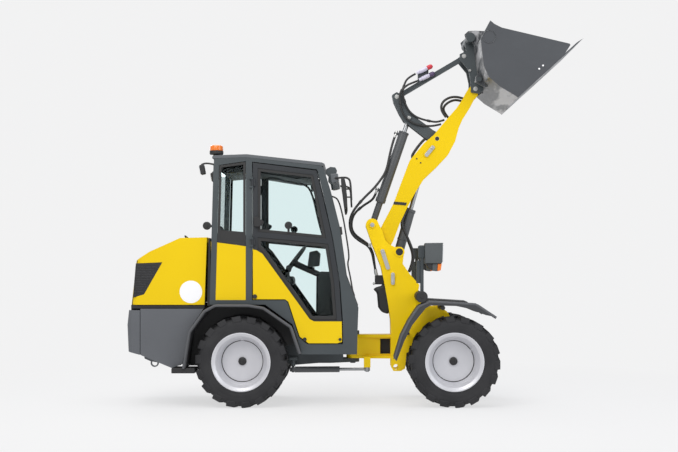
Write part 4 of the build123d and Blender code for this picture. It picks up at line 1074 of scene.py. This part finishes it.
for line, parts in (
    ("inner", (
        [(0.578, -0.044, 3.03), (0.53, -0.052, 3.004), (0.484, -0.063, 2.962), (0.468, -0.066, 2.905)],
        [(0.468, -0.066, 2.905), (0.458, -0.068, 2.87), (0.462, -0.068, 2.825), (0.476, -0.068, 2.775)],
        [(0.476, -0.068, 2.775), (0.494, -0.068, 2.712), (0.56, -0.066, 2.64), (0.64, -0.062, 2.606),
         (0.70, -0.055, 2.594)],
        [(0.70, -0.055, 2.594), (0.752, -0.049, 2.584), (0.80, -0.04, 2.59), (0.845, -0.035, 2.606)],
    )),
    ("outer", (
        [(0.60, -0.044, 2.966), (0.55, -0.052, 2.946), (0.492, -0.072, 2.918), (0.455, -0.079, 2.878)],
        [(0.455, -0.079, 2.878), (0.434, -0.083, 2.855), (0.431, -0.083, 2.80), (0.436, -0.083, 2.755)],
        [(0.436, -0.083, 2.755), (0.444, -0.083, 2.68), (0.50, -0.08, 2.60), (0.585, -0.07, 2.556),
         (0.65, -0.058, 2.55)],
        [(0.65, -0.058, 2.55), (0.70, -0.049, 2.546), (0.76, -0.04, 2.552), (0.815, -0.036, 2.566)],
    )),
):
    for part, (bodies, points) in enumerate(zip(armBodies, parts)):
        hose("arm_hose_" + line + "_" + "abcd"[part], bodies, points,
            "object" if part == 3 else "sleeve", 0.0095)
for side, y, inward in (("right", -0.036, 0.0), ("left", 0.0, 0.024)):
    hose("hitch_hose_" + side, ("boom",), [(0.862 + inward, y, 2.63), (0.815 + inward, y, 2.685),
        (0.82 + inward, y, 2.768 - inward), (0.9 + inward, y, 2.82 - inward), (1.0, y, 2.815 - inward),
        (1.045, y, 2.79 - inward)], "object")
hose("boom_hose", ("boom",), [(0.705, -0.03, 2.445), (0.672, -0.034, 2.438), (0.622, -0.036, 2.385),
    (0.572, -0.036, 2.318), (0.54, -0.036, 2.262), (0.563, -0.036, 2.232)], "object", 0.0125)
print("hoses ready")

# Couplers and their bracket on the link, and the clip on the frame
slabPiece("coupler_plate", "tilt_link", "frameGrey", [(0.60, 2.93), (0.70, 2.988), (0.70, 3.075),
    (0.655, 3.085), (0.60, 3.05)], (-0.026, -0.0185), 0.003)
for name, start, end, body, cap in (
    ("coupler_upper", (0.578, 3.03), (0.735, 3.105), "lilac", "capRed"),
    ("coupler_lower", (0.60, 2.968), (0.755, 3.038), "lilac", "capViolet"),
):
    first, last = Vector((start[0], -0.044, start[1])), Vector((end[0], -0.044, end[1]))
    step = last - first
    bm = bmesh.new()
    turned(bm, first + step * 0.08, first + step * 0.24, 0.0155, segments=6)
    turned(bm, first + step * 0.24, first + step * 0.62, 0.019)
    turned(bm, first + step * 0.62, first + step * 0.7, 0.0165)
    finishPiece(bm, name, "tilt_link", body, 0.0015, slot="pin_steel")
    bm = bmesh.new()
    turned(bm, first + step * 0.7, first + step * 0.94, 0.0215)
    turned(bm, first + step * 0.94, last, 0.017, 0.012)
    finishPiece(bm, name + "_cap", "tilt_link", cap, 0.002, slot=plainSlot)
bm = bmesh.new()
cross(bm, (0.158, 1.447), 0.007, -0.1175, 0.1175, segments=16)
for y in (-0.072, 0.074):
    box(bm, (0.142, 0.17), (y - 0.016, y + 0.016), (1.428, 1.464))
finishPiece(bm, "hose_clip", "front_frame", "zinc", 0.002)
print("couplers ready")

nodeFinish = {
    "yellow": ("cab_panels", "door_panel_right", "door_panel_left", "boom"),
    # front plates and yoke: the yellow with painted light, brighter to lift their shade
    "yellowPaintedLight": ("front_plates", "front_yoke"),
    "hood": ("hood",),
    "panelGrey": ("cab_roof", "cab_front_panel"),
    # door frames: their own dark paint with painted shade
    "doorDarkAndPaintedShade": ("door_frame_right", "door_frame_left"),
    "frameGrey": ("cab_frame", "rear_chassis", "lever", "tilt_link", "quick_hitch"),
    "castGrey": ("counterweight",),
    "cylinderGrey": ("tilt_barrel", "lift_barrel", "steer_barrel"),
    "axleBlack": ("rear_axle", "front_axle", "engine_block"),
    "bucket": ("bucket",),
    "blackPlastic": ("hood_grilles", "front_braces", "cab_floor", "steering_console", "cab_fittings",
                     "head_lamps", "seat"),
    "fenderBlack": ("rear_fenders", "front_fenders"),
    "tyre": ["tyre_" + place for place in places],
    "rim": ["rim_" + place for place in places],
    "chrome": ("tilt_rod", "lift_rod", "steer_rod"),
    "zinc": ("lever_pin", "hitch_pin", "link_pin", "tilt_pin"),
    "glass": ("cab_glass", "door_glass_right", "door_glass_left"),
}
for look, names in nodeFinish.items():
    for name in names:
        slots = nodes[name].data.materials
        slots.clear()
        slots.append(finishes[look])
print("nodes finished")
